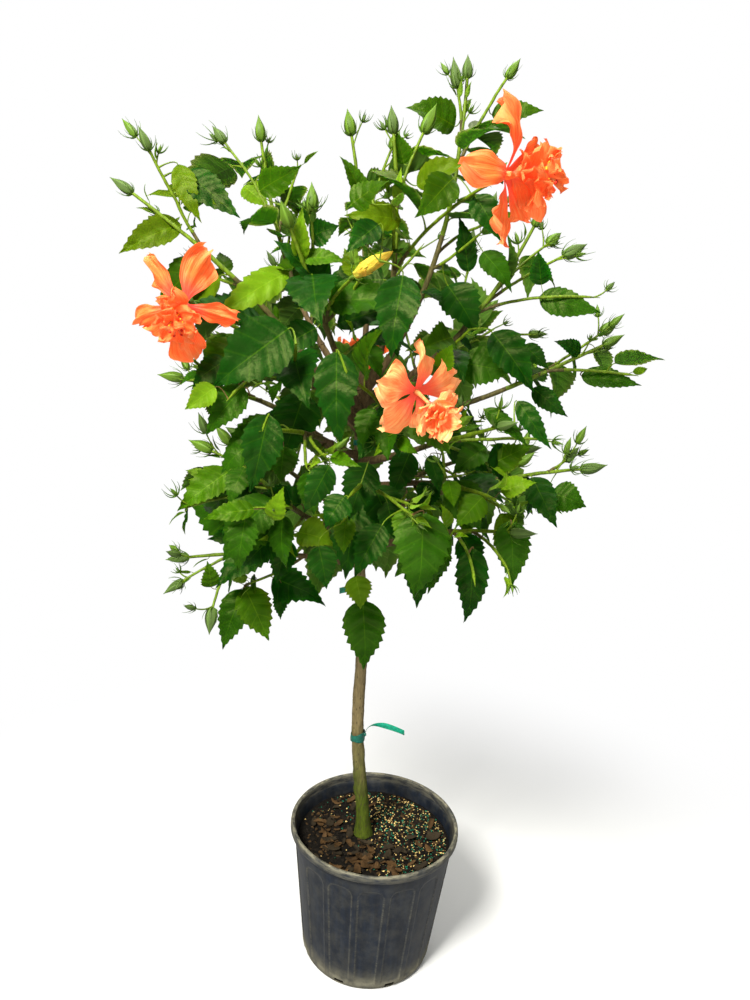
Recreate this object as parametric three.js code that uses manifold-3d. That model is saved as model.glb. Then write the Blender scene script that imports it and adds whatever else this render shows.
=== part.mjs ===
// A flowering hibiscus grown as a small standard tree in a plastic nursery pot.
// Millimetres, +Z up. The origin is the centre of the pot's flat underside.
// The crown is open: boughs leave the trunk one above the other, each carries one mass of leafy shoots,
// and the shoots end in flower buds or in large double blooms.
import * as THREE from 'three';
import { mergeVertices } from 'three/addons/utils/BufferGeometryUtils.js';
import Module from 'manifold-3d';

const wasm = await Module();
wasm.setup();

// Pot: a blow-moulded pot with tall pressed panels, a rolled rim and slots around its foot.
const POT = {
  rimRadius: 140, height: 240, footRadius: 105.5, wall: 2.2, floor: 2.5,
  rimDepth: 13, rimReach: 5, collarDrop: 34, footRise: 9, footTuck: 3,
  panels: 16, panelSides: 2, panelRows: [4, 5], panelDepth: 1.6,
  slots: 8, slotWidth: 16, slotHeight: 9, slotDepth: 18,
};
const SOIL = { top: 214, clearance: 0.3, crest: 45, fall: 6, sides: 32 };

// Trunk: leans and bows a little, flares at the soil and ends inside the crown.
const TRUNK = {
  foot: [-18, 0], tip: [-69, 0], top: 962, bow: 4.3, sway: 3,
  footRadius: 10.8, tipRadius: 7, flare: 5.5, flareHeight: 18, rings: 15, sides: 8,
};
const TIES = [
  { name: 'tie_low', height: 392, depth: 13, tail: [1, -0.3, 0.42], tailLength: 58 },
  { name: 'tie_middle', height: 646, depth: 9, tail: [-1, -0.3, -0.05], tailLength: 24 },
  { name: 'tie_high', height: 879, depth: 10, tail: [0.9, -0.25, -0.5], tailLength: 16 },
];
const TIE = { gap: 0.3, thickness: 1.4, tailWidth: 9, tailThickness: 0.9 };

// Limbs and shoots: radii where they start and end, and how far one runs straight before it bends.
const BOUGH = { root: 6.4, tip: 4.6, reach: 0.55, kneeOut: 0.55, kneeUp: 0.4, segments: 2, sides: 5 };
const STEM = { root: 4.6, tip: 2.5, segments: 4, lead: 0.42, samples: 16 };
const TWIG = { root: 2.4, tip: 2.1, segments: 2, lead: 0.4, samples: 8, follow: 0.6 };

// Twigs that fill a mass: where they leave its stem, how long they are, and how they turn and rise.
const FILL = {
  from: 0.08, to: 0.62, shortest: 75, longest: 125, retry: 51, shrink: 0.92,
  follow: 0.5, outward: 0.3, rise: 0.22, room: 12,
};
const JOINT_GAP = 0.3;
const SLIVER = 0.2;

// Leaves: toothed ovals on short stalks, large and hanging inside the crown, small at the shoots' tips.
const LEAF = {
  large: 112, small: 40, width: 0.7, stalk: 0.26, widest: 0.4, cup: 0.12, foot: 1,
  spacing: 30, bareFoot: 12, bareTip: 16, bloomStalk: 30,
  turn: 137.5, jitter: 22, retry: 47, shrink: 0.93, tries: 12, apart: 14, clear: 9,
  hangLow: 1.15, hangHigh: 0.3, hangSpread: [0.6, 1.3], sizeSpread: [0.86, 1.12],
  stalkFollow: 0.7, stalkRise: 0.15, follow: 0.3, spread: 0.35, outward: 0.6, turned: 0.7,
};
const BUD = { length: 42, girth: 0.22, point: 0.8, opened: 1.3 };
const BLOOM = {
  petal: 72, petalWidth: 60, petals: 5, reflex: 0.42, seat: 3, calyx: 22, column: 40, tuft: 24,
};

// Crown: its axis, and the room that keeps one mass clear of another and of the limbs.
const CROWN = { axis: [-65, 0], low: 600, high: 1350, heart: 930, rise: 0.5 };
const ROOM = { between: 5, limb: 3.5, limbStep: 12 };

const UP = new THREE.Vector3(0, 0, 1);
const COLOURS = {
  pot: [0x23272b, 0.55], soil: [0x33261b, 0.95], bark: [0x8d8063, 0.85], bough: [0x7a6a4a, 0.8],
  tie: [0x0fa383, 0.4], foliage: [0x2f6a1f, 0.45],
};

const vector = ([x, y, z]) => new THREE.Vector3(x, y, z);
const mix = (from, to, share) => from + (to - from) * share;

// A shoot: where it ends, how far up its mass's stem it leaves, and what it ends in.
function shoot(x, y, z, at = 0, ends = 'bud', facing = null, scale = 1) {
  return { tip: [x, y, z], at, ends, facing, scale };
}

// The masses of foliage. Each has its seed, the height on the trunk where its limb leaves, the point that
// the limb heads for, its shoots, of which the first is the mass's stem, and how many twigs fill it.
const MASSES = [
  { name: 'top_right', seed: 130, root: 948, end: [4, -20, 1082], twigs: 1, shoots: [
    shoot(44, 10, 1409), shoot(23, 0, 1402, 0.78), shoot(116, 30, 1414, 0.68),
    shoot(107, 40, 1205, 0.4, 'leaves')] },
  { name: 'top_centre', seed: 107, root: 930, end: [-29, -80, 1098], twigs: 2, shoots: [
    shoot(-53, -80, 1321), shoot(5, -60, 1330, 0.66),
    shoot(76, -250, 1223, 0.4, 'bloom', [0.95, -0.28, -0.12], 1.1)] },
  { name: 'top_left', seed: 97, root: 938, end: [-180, 40, 1089], twigs: 2, shoots: [
    shoot(-242, 60, 1326), shoot(-312, 80, 1311, 0.6), shoot(-184, 100, 1270, 0.55, 'leaves')] },
  { name: 'high_left', seed: 97, root: 912, end: [-205, -50, 1078], twigs: 2, shoots: [
    shoot(-417, -50, 1217), shoot(-370, -80, 1277, 0.6), shoot(-392, -80, 1125, 0.6, 'leaves')] },
  { name: 'front_left', seed: 23, root: 902, end: [-147, -140, 1008], twigs: 2, shoots: [
    shoot(-262, -215, 1062, 0, 'bloom', [-0.2, -0.95, -0.2], 0.95), shoot(-219, -240, 958, 0.45, 'leaves')] },
  { name: 'front_top', seed: 51, root: 921, end: [-118, -150, 1068], twigs: 2, shoots: [
    shoot(-171, -200, 1188), shoot(-140, -150, 1216, 0.5), shoot(-48, -320, 1125, 0.35, 'opening')] },
  { name: 'front_middle', seed: 81, root: 891, end: [-38, -150, 958], twigs: 2, shoots: [
    shoot(12, -285, 976, 0, 'bloom', [0.42, -0.88, -0.22], 0.85), shoot(-80, -270, 1000, 0.35, 'leaves')] },
  { name: 'front_inner', seed: 44, root: 857, end: [-130, -130, 915], twigs: 2, shoots: [
    shoot(-180, -240, 925, 0, 'leaves'), shoot(-100, -260, 905, 0.35, 'leaves')] },
  { name: 'middle_left', seed: 44, root: 838, end: [-170, -45, 935], twigs: 2, shoots: [
    shoot(-351, -60, 963), shoot(-290, -140, 998, 0.5, 'leaves')] },
  { name: 'low_left', seed: 59, root: 742, end: [-139, -95, 783], twigs: 1, shoots: [
    shoot(-257, -120, 909), shoot(-297, -100, 882, 0.66), shoot(-305, -120, 788, 0.5, 'leaves'),
    shoot(-158, -250, 834, 0.3)] },
  { name: 'lowest_left', seed: 74, root: 690, end: [-140, -45, 714], twigs: 2, shoots: [
    shoot(-333, -80, 701), shoot(-328, -110, 660, 0.62), shoot(-259, -130, 612, 0.6)] },
  { name: 'low_front', seed: 45, root: 778, end: [-48, -120, 858], twigs: 2, shoots: [
    shoot(-70, -275, 860, 0, 'leaves'), shoot(10, -240, 835, 0.35, 'leaves')] },
  { name: 'lowest_front', seed: 59, root: 616, end: [-50, -70, 656], twigs: 0, shoots: [
    shoot(-50, -95, 680, 0, 'leaves')] },
  { name: 'lowest_right', seed: 112, root: 715, end: [55, -95, 783], twigs: 2, shoots: [
    shoot(174, -180, 807), shoot(135, -220, 768, 0.6, 'leaves'), shoot(96, -215, 743, 0.45, 'leaves')] },
  { name: 'inner_right', seed: 68, root: 812, end: [50, -120, 860], twigs: 2, shoots: [
    shoot(110, -225, 860, 0, 'leaves'), shoot(40, -240, 895, 0.4, 'leaves')] },
  { name: 'low_right', seed: 17, root: 760, end: [60, -40, 830], twigs: 2, shoots: [
    shoot(289, -50, 876), shoot(182, -60, 893, 0.5), shoot(253, -20, 898, 0.75)] },
  { name: 'middle_right', seed: 23, root: 893, end: [80, -30, 951], twigs: 2, shoots: [
    shoot(289, -40, 1061), shoot(310, -60, 1008, 0.66, 'leaves'), shoot(300, 40, 1080, 0.62)] },
  { name: 'high_right', seed: 3, root: 935, end: [78, 0, 1053], twigs: 1, shoots: [
    shoot(163, -20, 1224), shoot(239, 30, 1181, 0.5), shoot(251, -30, 1108, 0.45, 'leaves'),
    shoot(210, 80, 1199, 0.55)] },
  { name: 'front_right', seed: 81, root: 848, end: [41, -140, 914], twigs: 2, shoots: [
    shoot(127, -215, 955), shoot(182, -160, 928, 0.45, 'leaves')] },
  { name: 'top_back', seed: 42, root: 952, end: [-70, 70, 1098], twigs: 1, shoots: [
    shoot(-120, 110, 1353), shoot(-40, 150, 1338, 0.5), shoot(-60, 215, 1233, 0.4)] },
  { name: 'back_left', seed: 21, root: 895, end: [-165, 120, 968], twigs: 2, shoots: [
    shoot(-300, 235, 1048), shoot(-350, 130, 1008, 0.55), shoot(-220, 250, 1158, 0.5)] },
  { name: 'back_right', seed: 25, root: 905, end: [30, 120, 988], twigs: 2, shoots: [
    shoot(150, 255, 1098), shoot(225, 170, 1048, 0.55), shoot(90, 210, 1208, 0.5)] },
  { name: 'back_middle', seed: 7, root: 840, end: [-70, 140, 913], twigs: 2, shoots: [
    shoot(-80, 320, 968, 0, 'bloom', [-0.2, 0.95, 0.1], 0.9), shoot(10, 310, 908, 0.45),
    shoot(-150, 320, 878, 0.5, 'leaves')] },
  { name: 'low_back_left', seed: 76, root: 755, end: [-160, 90, 798], twigs: 2, shoots: [
    shoot(-300, 170, 858), shoot(-230, 260, 788, 0.55), shoot(-310, 80, 788, 0.5, 'leaves')] },
  { name: 'low_back_right', seed: 76, root: 780, end: [40, 100, 828], twigs: 2, shoots: [
    shoot(230, 130, 868), shoot(150, 240, 838, 0.55), shoot(210, 70, 798, 0.5, 'leaves')] },
  { name: 'lowest_back', seed: 78, root: 660, end: [-50, 110, 708], twigs: 2, shoots: [
    shoot(-60, 260, 728), shoot(60, 200, 698, 0.5), shoot(-150, 190, 668, 0.5, 'leaves')] },
];

// A small seeded generator, so that the plant grows the same way each time.
function seeded(seed) {
  let state = seed;
  return () => {
    state = (state + 0x6d2b79f5) | 0;
    let t = Math.imul(state ^ (state >>> 15), 1 | state);
    t = (t + Math.imul(t ^ (t >>> 7), 61 | t)) ^ t;
    return ((t ^ (t >>> 14)) >>> 0) / 4294967296;
  };
}

// The trunk's centre and radius at a height.
function trunkAt(height) {
  const share = (height - SOIL.top) / (TRUNK.top - SOIL.top);
  return {
    centre: new THREE.Vector3(
      mix(TRUNK.foot[0], TRUNK.tip[0], share) - TRUNK.bow * (1 - Math.cos(4 * Math.PI * share)),
      TRUNK.sway * Math.sin(2 * Math.PI * share), height),
    radius: mix(TRUNK.footRadius, TRUNK.tipRadius, share)
      + TRUNK.flare * Math.exp(-(height - SOIL.top) / TRUNK.flareHeight),
  };
}

// The way out of the crown from its heart, which leaves and twigs lean towards.
function outwards(point) {
  return new THREE.Vector3(point.x - CROWN.axis[0], point.y - CROWN.axis[1],
    CROWN.rise * (point.z - CROWN.heart)).normalize();
}

// A direction square to an axis, turned by an angle in degrees about it.
function squareTo(axis, degrees) {
  const across = new THREE.Vector3().crossVectors(axis, Math.abs(axis.z) > 0.9
    ? new THREE.Vector3(1, 0, 0) : UP).normalize();
  return across.applyAxisAngle(axis, THREE.MathUtils.degToRad(degrees));
}

// A bend that leaves a point along a direction and ends at another point.
function bend(from, leaving, to, lead) {
  const reach = from.distanceTo(to);
  return new THREE.QuadraticBezierCurve3(from, from.clone().addScaledVector(leaving, lead * reach), to);
}

// The first share of a bend, as a bend of its own.
function cutShort(line, share) {
  const { v0, v1 } = line;
  return new THREE.QuadraticBezierCurve3(v0, v0.clone().lerp(v1, share), line.getPoint(share));
}

// A bough's line, from the trunk's centre part of the way to the point that the limb heads for.
function boughLine(mass) {
  const from = trunkAt(mass.root).centre;
  const heading = vector(mass.end);
  const knee = new THREE.Vector3(mix(from.x, heading.x, BOUGH.kneeOut),
    mix(from.y, heading.y, BOUGH.kneeOut), mix(from.z, heading.z, BOUGH.kneeUp));
  const limb = new THREE.QuadraticBezierCurve3(from, knee, heading);
  return cutShort(limb, BOUGH.reach);
}

// A mass's lines: its stem, its other shoots, and the twigs that the seeded rule adds.
function growLines(mass) {
  const random = seeded(mass.seed);
  const bough = boughLine(mass);
  const leaving = bough.getTangent(1);
  const start = bough.getPoint(1).addScaledVector(leaving, JOINT_GAP);
  const stem = bend(start, leaving, vector(mass.shoots[0].tip), STEM.lead);
  const lines = [{ line: stem, size: STEM, ...mass.shoots[0] }];
  for (const side of mass.shoots.slice(1)) {
    const from = stem.getPoint(side.at);
    const to = vector(side.tip);
    const way = stem.getTangent(side.at).multiplyScalar(TWIG.follow)
      .add(to.clone().sub(from).normalize()).normalize();
    lines.push({ line: bend(from, way, to, TWIG.lead), size: TWIG, ...side });
  }
  mass.random = random;
  mass.blades = [];
  mass.bough = bough;
  mass.lines = lines;
}

// The twigs that fill a mass around its stem, where they keep to the mass's own space.
function growTwigs(mass) {
  const stem = mass.lines[0].line;
  const phase = 360 * mass.random();
  for (let k = 0; k < mass.twigs; k += 1) {
    const at = mix(FILL.from, FILL.to, (k + 0.5 * mass.random()) / mass.twigs);
    const length = mix(FILL.shortest, FILL.longest, mass.random());
    const from = stem.getPoint(at);
    for (let attempt = 0; attempt < LEAF.tries; attempt += 1) {
      const side = squareTo(stem.getTangent(at), phase + LEAF.turn * k + FILL.retry * attempt);
      const way = side.clone().addScaledVector(stem.getTangent(at), FILL.follow)
        .addScaledVector(outwards(from), FILL.outward).normalize();
      const reach = length * FILL.shrink ** attempt;
      const to = from.clone().addScaledVector(way, reach).addScaledVector(UP, FILL.rise * reach);
      if (hasRoom(mass, [from.clone().lerp(to, 0.6), to], FILL.room)) {
        mass.lines.push({ line: bend(from, way, to, TWIG.lead), size: TWIG, at, ends: 'leaves' });
        break;
      }
    }
  }
}

// The points that mark out a mass's own space: along its lines, and around its blooms.
function markSpace(mass) {
  mass.space = mass.lines.flatMap(({ line, size }) => line.getPoints(size.samples));
  for (const entry of mass.lines.filter(({ ends }) => ends === 'bloom')) {
    const bloom = bloomFrame(entry);
    for (const petal of petalFrames(bloom)) {
      for (const share of [0.35, 0.7, 1]) {
        mass.space.push(petal.base.clone().addScaledVector(petal.along, share * bloom.scale * BLOOM.petal));
      }
    }
    mass.space.push(bloom.centre.clone()
      .addScaledVector(bloom.facing, bloom.scale * (BLOOM.column + BLOOM.tuft)));
  }
}

const nearest = (point, points) => points.reduce(
  (least, other) => Math.min(least, point.distanceTo(other)), Infinity);

// Whether points lie in a mass's own space, clear of the other masses, the trunk and the boughs.
function hasRoom(mass, points, room = ROOM.between) {
  return points.every((point) => {
    if (limbPoints.some((limb) => point.distanceTo(limb.centre) < limb.radius + ROOM.limb)) return false;
    const own = nearest(point, mass.space);
    return MASSES.every((other) => other === mass || nearest(point, other.space) > own + room);
  });
}

// The leaves along one line of a mass, each with its frame. A leaf that finds no room is skipped.
function growLeaves(mass, { line, ends }) {
  const length = line.getLength();
  const bareTip = ends === 'leaves' ? 2
    : LEAF.bareTip + (ends === 'bloom' ? LEAF.bloomStalk : BUD.length);
  const count = Math.max(1, Math.round((length - LEAF.bareFoot - bareTip) / LEAF.spacing));
  const phase = 360 * mass.random();
  const leaves = [];
  for (let k = 0; k < count; k += 1) {
    const along = LEAF.bareFoot + (k + 0.5) * (length - LEAF.bareFoot - bareTip) / count;
    const share = Math.min(1, along / length);
    const foot = line.getPointAt(share);
    const axis = line.getTangentAt(share);
    const height = THREE.MathUtils.clamp((foot.z - CROWN.low) / (CROWN.high - CROWN.low), 0, 1);
    const hang = mix(LEAF.hangLow, LEAF.hangHigh, height) * mix(...LEAF.hangSpread, mass.random());
    const full = mix(LEAF.large, LEAF.small, share) * mix(...LEAF.sizeSpread, mass.random());
    const jitter = mix(-LEAF.jitter, LEAF.jitter, mass.random());
    for (let attempt = 0; attempt < LEAF.tries; attempt += 1) {
      const blade = full * LEAF.shrink ** attempt;
      const side = squareTo(axis, phase + LEAF.turn * k + jitter + LEAF.retry * attempt);
      const leaf = leafFrame(foot, axis, side, blade, hang);
      const points = leafPoints(leaf);
      const crowded = points.slice(1).some((point) => nearest(point, mass.blades) < LEAF.apart
        || nearest(point, mass.space) < LEAF.clear);
      if (!crowded && hasRoom(mass, points)) {
        leaves.push(leaf);
        mass.blades.push(...points.slice(1));
        break;
      }
    }
  }
  return leaves;
}

// One leaf's frame: its foot on the twig, the end of its stalk, and the blade's way, upper side and width.
function leafFrame(foot, axis, side, blade, hang) {
  const stalkWay = side.clone().addScaledVector(axis, LEAF.stalkFollow)
    .addScaledVector(UP, LEAF.stalkRise).normalize();
  const base = foot.clone().addScaledVector(stalkWay, LEAF.stalk * blade);
  const along = side.clone().addScaledVector(axis, LEAF.follow)
    .addScaledVector(outwards(foot), LEAF.spread).addScaledVector(UP, -hang).normalize();
  const upper = UP.clone().addScaledVector(outwards(foot), LEAF.outward)
    .add(new THREE.Vector3(0, foot.y > CROWN.axis[1] ? LEAF.turned : -LEAF.turned, 0));
  upper.addScaledVector(along, -upper.dot(along)).normalize();
  return { foot, base, along, upper, across: along.clone().cross(upper), blade, width: LEAF.width * blade };
}

// A point of a leaf's blade: at a share of its length and of its half width. The blade folds up a little.
function leafPoint(leaf, length, width) {
  return leaf.base.clone()
    .addScaledVector(leaf.along, length * leaf.blade)
    .addScaledVector(leaf.across, width * leaf.width / 2)
    .addScaledVector(leaf.upper, LEAF.cup * Math.abs(width) * leaf.width / 2);
}

// The points of a leaf that are tested for room.
function leafPoints(leaf) {
  const places = [[0, 0], [0.4, 0], [0.7, 0], [1, 0], [0.4, 1], [0.4, -1], [0.7, 0.5], [0.7, -0.5],
    [0.2, 0.5], [0.2, -0.5]];
  return places.map(([length, width]) => leafPoint(leaf, length, width));
}

// A bloom's frame: its centre, where it faces, and two directions square to that.
function bloomFrame({ line, facing, scale }) {
  const front = vector(facing).normalize();
  const side = squareTo(front, 0);
  return { centre: line.getPoint(1), facing: front, side, rise: front.clone().cross(side), scale };
}

// The frames of a bloom's five petals, which spread from the throat and bend back.
function petalFrames(bloom) {
  return Array.from({ length: BLOOM.petals }, (_, k) => {
    const turn = (k + 0.25) * 2 * Math.PI / BLOOM.petals;
    const out = bloom.side.clone().multiplyScalar(Math.cos(turn)).addScaledVector(bloom.rise, Math.sin(turn));
    const along = out.clone().addScaledVector(bloom.facing, -BLOOM.reflex).normalize();
    const upper = bloom.facing.clone().addScaledVector(out, BLOOM.reflex).normalize();
    const base = bloom.centre.clone().addScaledVector(out, BLOOM.seat);
    return { scale: bloom.scale, base, along, upper, across: along.clone().cross(upper) };
  });
}

// Solid from points and triangles whose faces point out.
function solid(points, triangles) {
  const mesh = new wasm.Mesh({
    numProp: 3,
    vertProperties: new Float32Array(points.flatMap((p) => [p.x, p.y, p.z])),
    triVerts: new Uint32Array(triangles.flat()),
  });
  return new wasm.Manifold(mesh);
}

// Solid from a closed three.js geometry.
function solidOf(geometry) {
  const bare = geometry.clone();
  bare.deleteAttribute('normal');
  bare.deleteAttribute('uv');
  const merged = mergeVertices(bare, 1e-3);
  return new wasm.Manifold(new wasm.Mesh({
    numProp: 3,
    vertProperties: merged.attributes.position.array,
    triVerts: new Uint32Array(merged.index.array),
  }));
}

// Closes a bar: triangles between its rings of points, and a flat cap at each end.
function barSolid(points, sides) {
  const triangles = [];
  const last = points.length - sides;
  for (let ring = 0; ring < last; ring += sides) {
    for (let side = 0; side < sides; side += 1) {
      const a = ring + side;
      const b = ring + (side + 1) % sides;
      triangles.push([a, b, b + sides], [a, b + sides, a + sides]);
    }
  }
  for (let side = 1; side < sides - 1; side += 1) {
    triangles.push([0, side + 1, side], [last, last + side, last + side + 1]);
  }
  return solid(points, triangles);
}

// A bar along a bend, with a radius at each of several shares of its length.
function bendSolid(line, rings, sides) {
  const plane = new THREE.Vector3().crossVectors(line.v1.clone().sub(line.v0), line.v2.clone().sub(line.v0));
  const flat = plane.length() < 1e-3 ? squareTo(line.getTangent(0), 0) : plane.normalize();
  return barSolid(rings.flatMap(({ share, radius }) => {
    const centre = line.getPointAt(share);
    const across = line.getTangentAt(share).cross(flat);
    return Array.from({ length: sides }, (_, side) => {
      const turn = side * 2 * Math.PI / sides;
      return centre.clone().addScaledVector(flat, radius * Math.cos(turn))
        .addScaledVector(across, radius * Math.sin(turn));
    });
  }), sides);
}

// Equal steps of a taper from a limb's root to its tip, over the first part of its line.
function taper(size, over = 1, extra = 0) {
  return Array.from({ length: size.segments + 1 }, (_, k) => {
    const share = k / size.segments;
    return { share: share * over, radius: mix(size.root, size.tip, share) + extra };
  });
}

// A folded blade of eight faces with a triangular foot: its upper side folds along the midrib,
// and below the midrib a keel thins towards the tip.
function bladeSolid(foot, left, right, tip, across, upper, radius) {
  const points = [
    foot.clone().addScaledVector(upper, radius),
    foot.clone().addScaledVector(across, -0.87 * radius).addScaledVector(upper, -radius / 2),
    foot.clone().addScaledVector(across, 0.87 * radius).addScaledVector(upper, -radius / 2),
    left, right, tip,
  ];
  return solid(points, [
    [0, 1, 2], [0, 5, 3], [0, 4, 5], [1, 3, 5], [2, 5, 4], [1, 5, 2], [0, 3, 1], [0, 2, 4],
  ]);
}

function leafSolid(leaf) {
  return bladeSolid(leaf.foot, leafPoint(leaf, LEAF.widest, -1), leafPoint(leaf, LEAF.widest, 1),
    leafPoint(leaf, 1, 0), leaf.across, leaf.upper, LEAF.foot);
}

// A pointed bud of four sides with its foot sunk in the shoot.
function budSolid(foot, along, length, width) {
  const side = squareTo(along, 45);
  const other = along.clone().cross(side);
  const waist = foot.clone().addScaledVector(along, 0.4 * length);
  const ring = [side, other, side.clone().negate(), other.clone().negate()]
    .map((way) => waist.clone().addScaledVector(way, width / 2));
  const points = [foot, ...ring, foot.clone().addScaledVector(along, length)];
  return solid(points, [0, 1, 2, 3].flatMap((k) => {
    const a = 1 + k;
    const b = 1 + (k + 1) % 4;
    return [[0, b, a], [5, a, b]];
  }));
}

function petalSolid(petal) {
  const at = (share, half, lift) => petal.base.clone()
    .addScaledVector(petal.along, share * petal.scale * BLOOM.petal)
    .addScaledVector(petal.across, half * petal.scale * BLOOM.petalWidth / 2)
    .addScaledVector(petal.upper, lift);
  return bladeSolid(petal.base, at(0.66, -1, 4), at(0.66, 1, 4), at(1, 0, 0), petal.across, petal.upper, 3);
}

// A bloom: five broad petals round a column that ends in a tuft of ruffled petals.
function bloomSolids(bloom) {
  const pieces = petalFrames(bloom).map(petalSolid);
  const { centre, facing, scale } = bloom;
  pieces.push(budSolid(centre.clone().addScaledVector(facing, -BLOOM.calyx), facing,
    BLOOM.calyx + scale * BLOOM.column, BLOOM.tuft));
  pieces.push(solidOf(new THREE.IcosahedronGeometry(scale * BLOOM.tuft, 0)
    .translate(...centre.clone().addScaledVector(facing, scale * BLOOM.column))));
  return pieces;
}

// The rings of a shoot's bar. One that ends in a bud swells to it and closes to a point.
function shootRings({ line, size, ends }, bud) {
  if (ends === 'bloom' || ends === 'leaves') return taper(size);
  const length = line.getLength();
  return [...taper(size, 1 - bud / length), { share: 1 - 0.6 * bud / length, radius: bud * BUD.girth },
    { share: 1, radius: BUD.point }];
}

// A shoot with what it ends in.
function shootSolids(mass, entry) {
  const bud = BUD.length * mix(0.7, 1, mass.random()) * (entry.ends === 'opening' ? BUD.opened : 1);
  const pieces = [bendSolid(entry.line, shootRings(entry, bud), 3)];
  if (entry.ends === 'bloom') pieces.push(...bloomSolids(bloomFrame(entry)));
  return pieces;
}

// The largest body of a solid without its slivers, with any sealed hollow filled and any loose scrap dropped.
function whole(made) {
  const largest = (bodies) => bodies.reduce((best, body) => (body.volume() > best.volume() ? body : best));
  return largest(largest(made.decompose()).asOriginal().simplify(SLIVER).decompose());
}

function massSolid(mass) {
  return whole(wasm.Manifold.union(mass.lines.flatMap((entry) => [
    ...shootSolids(mass, entry), ...growLeaves(mass, entry).map(leafSolid)])));
}

// The trunk as a bar between two heights, with its radius widened by an allowance.
function trunkSolid(low, high, allowance = 0, rings = TRUNK.rings) {
  return barSolid(Array.from({ length: rings + 1 }, (_, k) => trunkAt(mix(low, high, k / rings)))
    .flatMap(({ centre, radius }) => Array.from({ length: TRUNK.sides }, (_, side) => {
      const turn = side * 2 * Math.PI / TRUNK.sides;
      return new THREE.Vector3(centre.x + (radius + allowance) * Math.cos(turn),
        centre.y + (radius + allowance) * Math.sin(turn), centre.z);
    })), TRUNK.sides);
}

// A ribbon wound round the trunk and knotted, with one loose tail.
function tieSolid({ height, depth, tail, tailLength }) {
  const inside = trunkSolid(SOIL.top + JOINT_GAP, TRUNK.top, TIE.gap);
  const band = trunkSolid(height - depth / 2, height + depth / 2, TIE.gap + TIE.thickness, 1);
  const { centre, radius } = trunkAt(height);
  const way = vector(tail).normalize();
  const from = centre.clone().addScaledVector(way.clone().setZ(0).normalize(), radius + TIE.gap + 0.5);
  const box = new THREE.BoxGeometry(tailLength, TIE.tailThickness, TIE.tailWidth);
  const across = UP.clone().addScaledVector(way, -UP.dot(way)).normalize();
  const place = new THREE.Matrix4().makeBasis(way, across.clone().cross(way), across)
    .setPosition(from.clone().addScaledVector(way, tailLength / 2));
  return whole(band.add(solidOf(box.applyMatrix4(place))).subtract(inside));
}

// The pot, turned from its profile, with the panels pressed in and the foot slots cut out.
function potSolid() {
  const { rimRadius, height, footRadius, wall, floor, rimDepth, rimReach, collarDrop } = POT;
  const outerTop = rimRadius - rimReach;
  const radiusAt = (z) => mix(footRadius + POT.footTuck, outerTop, z / height);
  const panelLow = POT.footRise + 8;
  const panelHigh = height - collarDrop;
  const profile = [
    [0, 0], [footRadius, 0], [radiusAt(POT.footRise), POT.footRise], [radiusAt(panelLow), panelLow],
    [radiusAt(panelLow + 6), panelLow + 6], [radiusAt(panelHigh - 10), panelHigh - 10],
    [radiusAt(panelHigh), panelHigh], [radiusAt(height - rimDepth), height - rimDepth],
    [rimRadius - 1, height - rimDepth + 1], [rimRadius, height - 3], [rimRadius - 3, height],
    [outerTop - wall, height - 1], [radiusAt(floor) - wall - POT.panelDepth, floor], [0, floor],
  ].map(([r, z]) => new THREE.Vector2(r, z));
  const columns = POT.panels * POT.panelSides;
  const lathe = new THREE.LatheGeometry(profile, columns);
  const position = lathe.getAttribute('position');
  for (let k = 0; k < position.count; k += 1) {
    const row = k % profile.length;
    const column = Math.floor(k / profile.length) % POT.panelSides;
    const pressed = POT.panelRows.includes(row) && column !== 0;
    const radius = Math.hypot(position.getX(k), position.getZ(k));
    if (pressed) {
      const scale = (radius - POT.panelDepth) / radius;
      position.setX(k, position.getX(k) * scale);
      position.setZ(k, position.getZ(k) * scale);
    }
  }
  lathe.rotateX(Math.PI / 2);
  let pot = solidOf(lathe);
  for (let k = 0; k < POT.slots; k += 1) {
    const turn = (k + 0.5) * 2 * Math.PI / POT.slots;
    const slot = new THREE.BoxGeometry(POT.slotDepth, POT.slotWidth, POT.slotHeight)
      .translate(footRadius, 0, floor + POT.slotHeight / 2).rotateZ(turn);
    pot = pot.subtract(solidOf(slot));
  }
  return pot;
}

// The potting mix, a plug that fills the pot and rises a little to a flat crest where the trunk stands.
function soilSolid() {
  const inner = (z) => mix(POT.footRadius + POT.footTuck, POT.rimRadius - POT.rimReach, z / POT.height)
    - POT.wall - POT.panelDepth - SOIL.clearance - 1;
  const low = POT.floor + SOIL.clearance;
  const profile = [[0, low], [inner(low), low], [inner(SOIL.top - SOIL.fall), SOIL.top - SOIL.fall],
    [SOIL.crest, SOIL.top], [0, SOIL.top]].map(([r, z]) => new THREE.Vector2(r, z));
  return solidOf(new THREE.LatheGeometry(profile, SOIL.sides).rotateX(Math.PI / 2));
}

const group = new THREE.Group();

function addMesh(name, made, [colour, roughness]) {
  const { vertProperties, triVerts } = made.getMesh();
  const geometry = new THREE.BufferGeometry();
  geometry.setAttribute('position', new THREE.BufferAttribute(new Float32Array(vertProperties), 3));
  geometry.setIndex(new THREE.BufferAttribute(new Uint32Array(triVerts), 1));
  geometry.computeVertexNormals();
  const material = new THREE.MeshStandardMaterial({ color: colour, roughness, metalness: 0 });
  const mesh = new THREE.Mesh(geometry, material);
  mesh.name = name;
  group.add(mesh);
}

// Growth: all the lines first, so that each mass knows the space of the others, then twigs, then leaves.
MASSES.forEach(growLines);
const limbPoints = [];
for (let z = SOIL.top; z <= TRUNK.top; z += ROOM.limbStep) limbPoints.push(trunkAt(z));
for (const mass of MASSES) {
  for (const share of Array.from({ length: 13 }, (_, k) => k / 12)) {
    limbPoints.push({ centre: mass.bough.getPoint(share), radius: mix(BOUGH.root, BOUGH.tip, share) });
  }
}
MASSES.forEach(markSpace);
for (const mass of MASSES) {
  growTwigs(mass);
  markSpace(mass);
}

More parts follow.
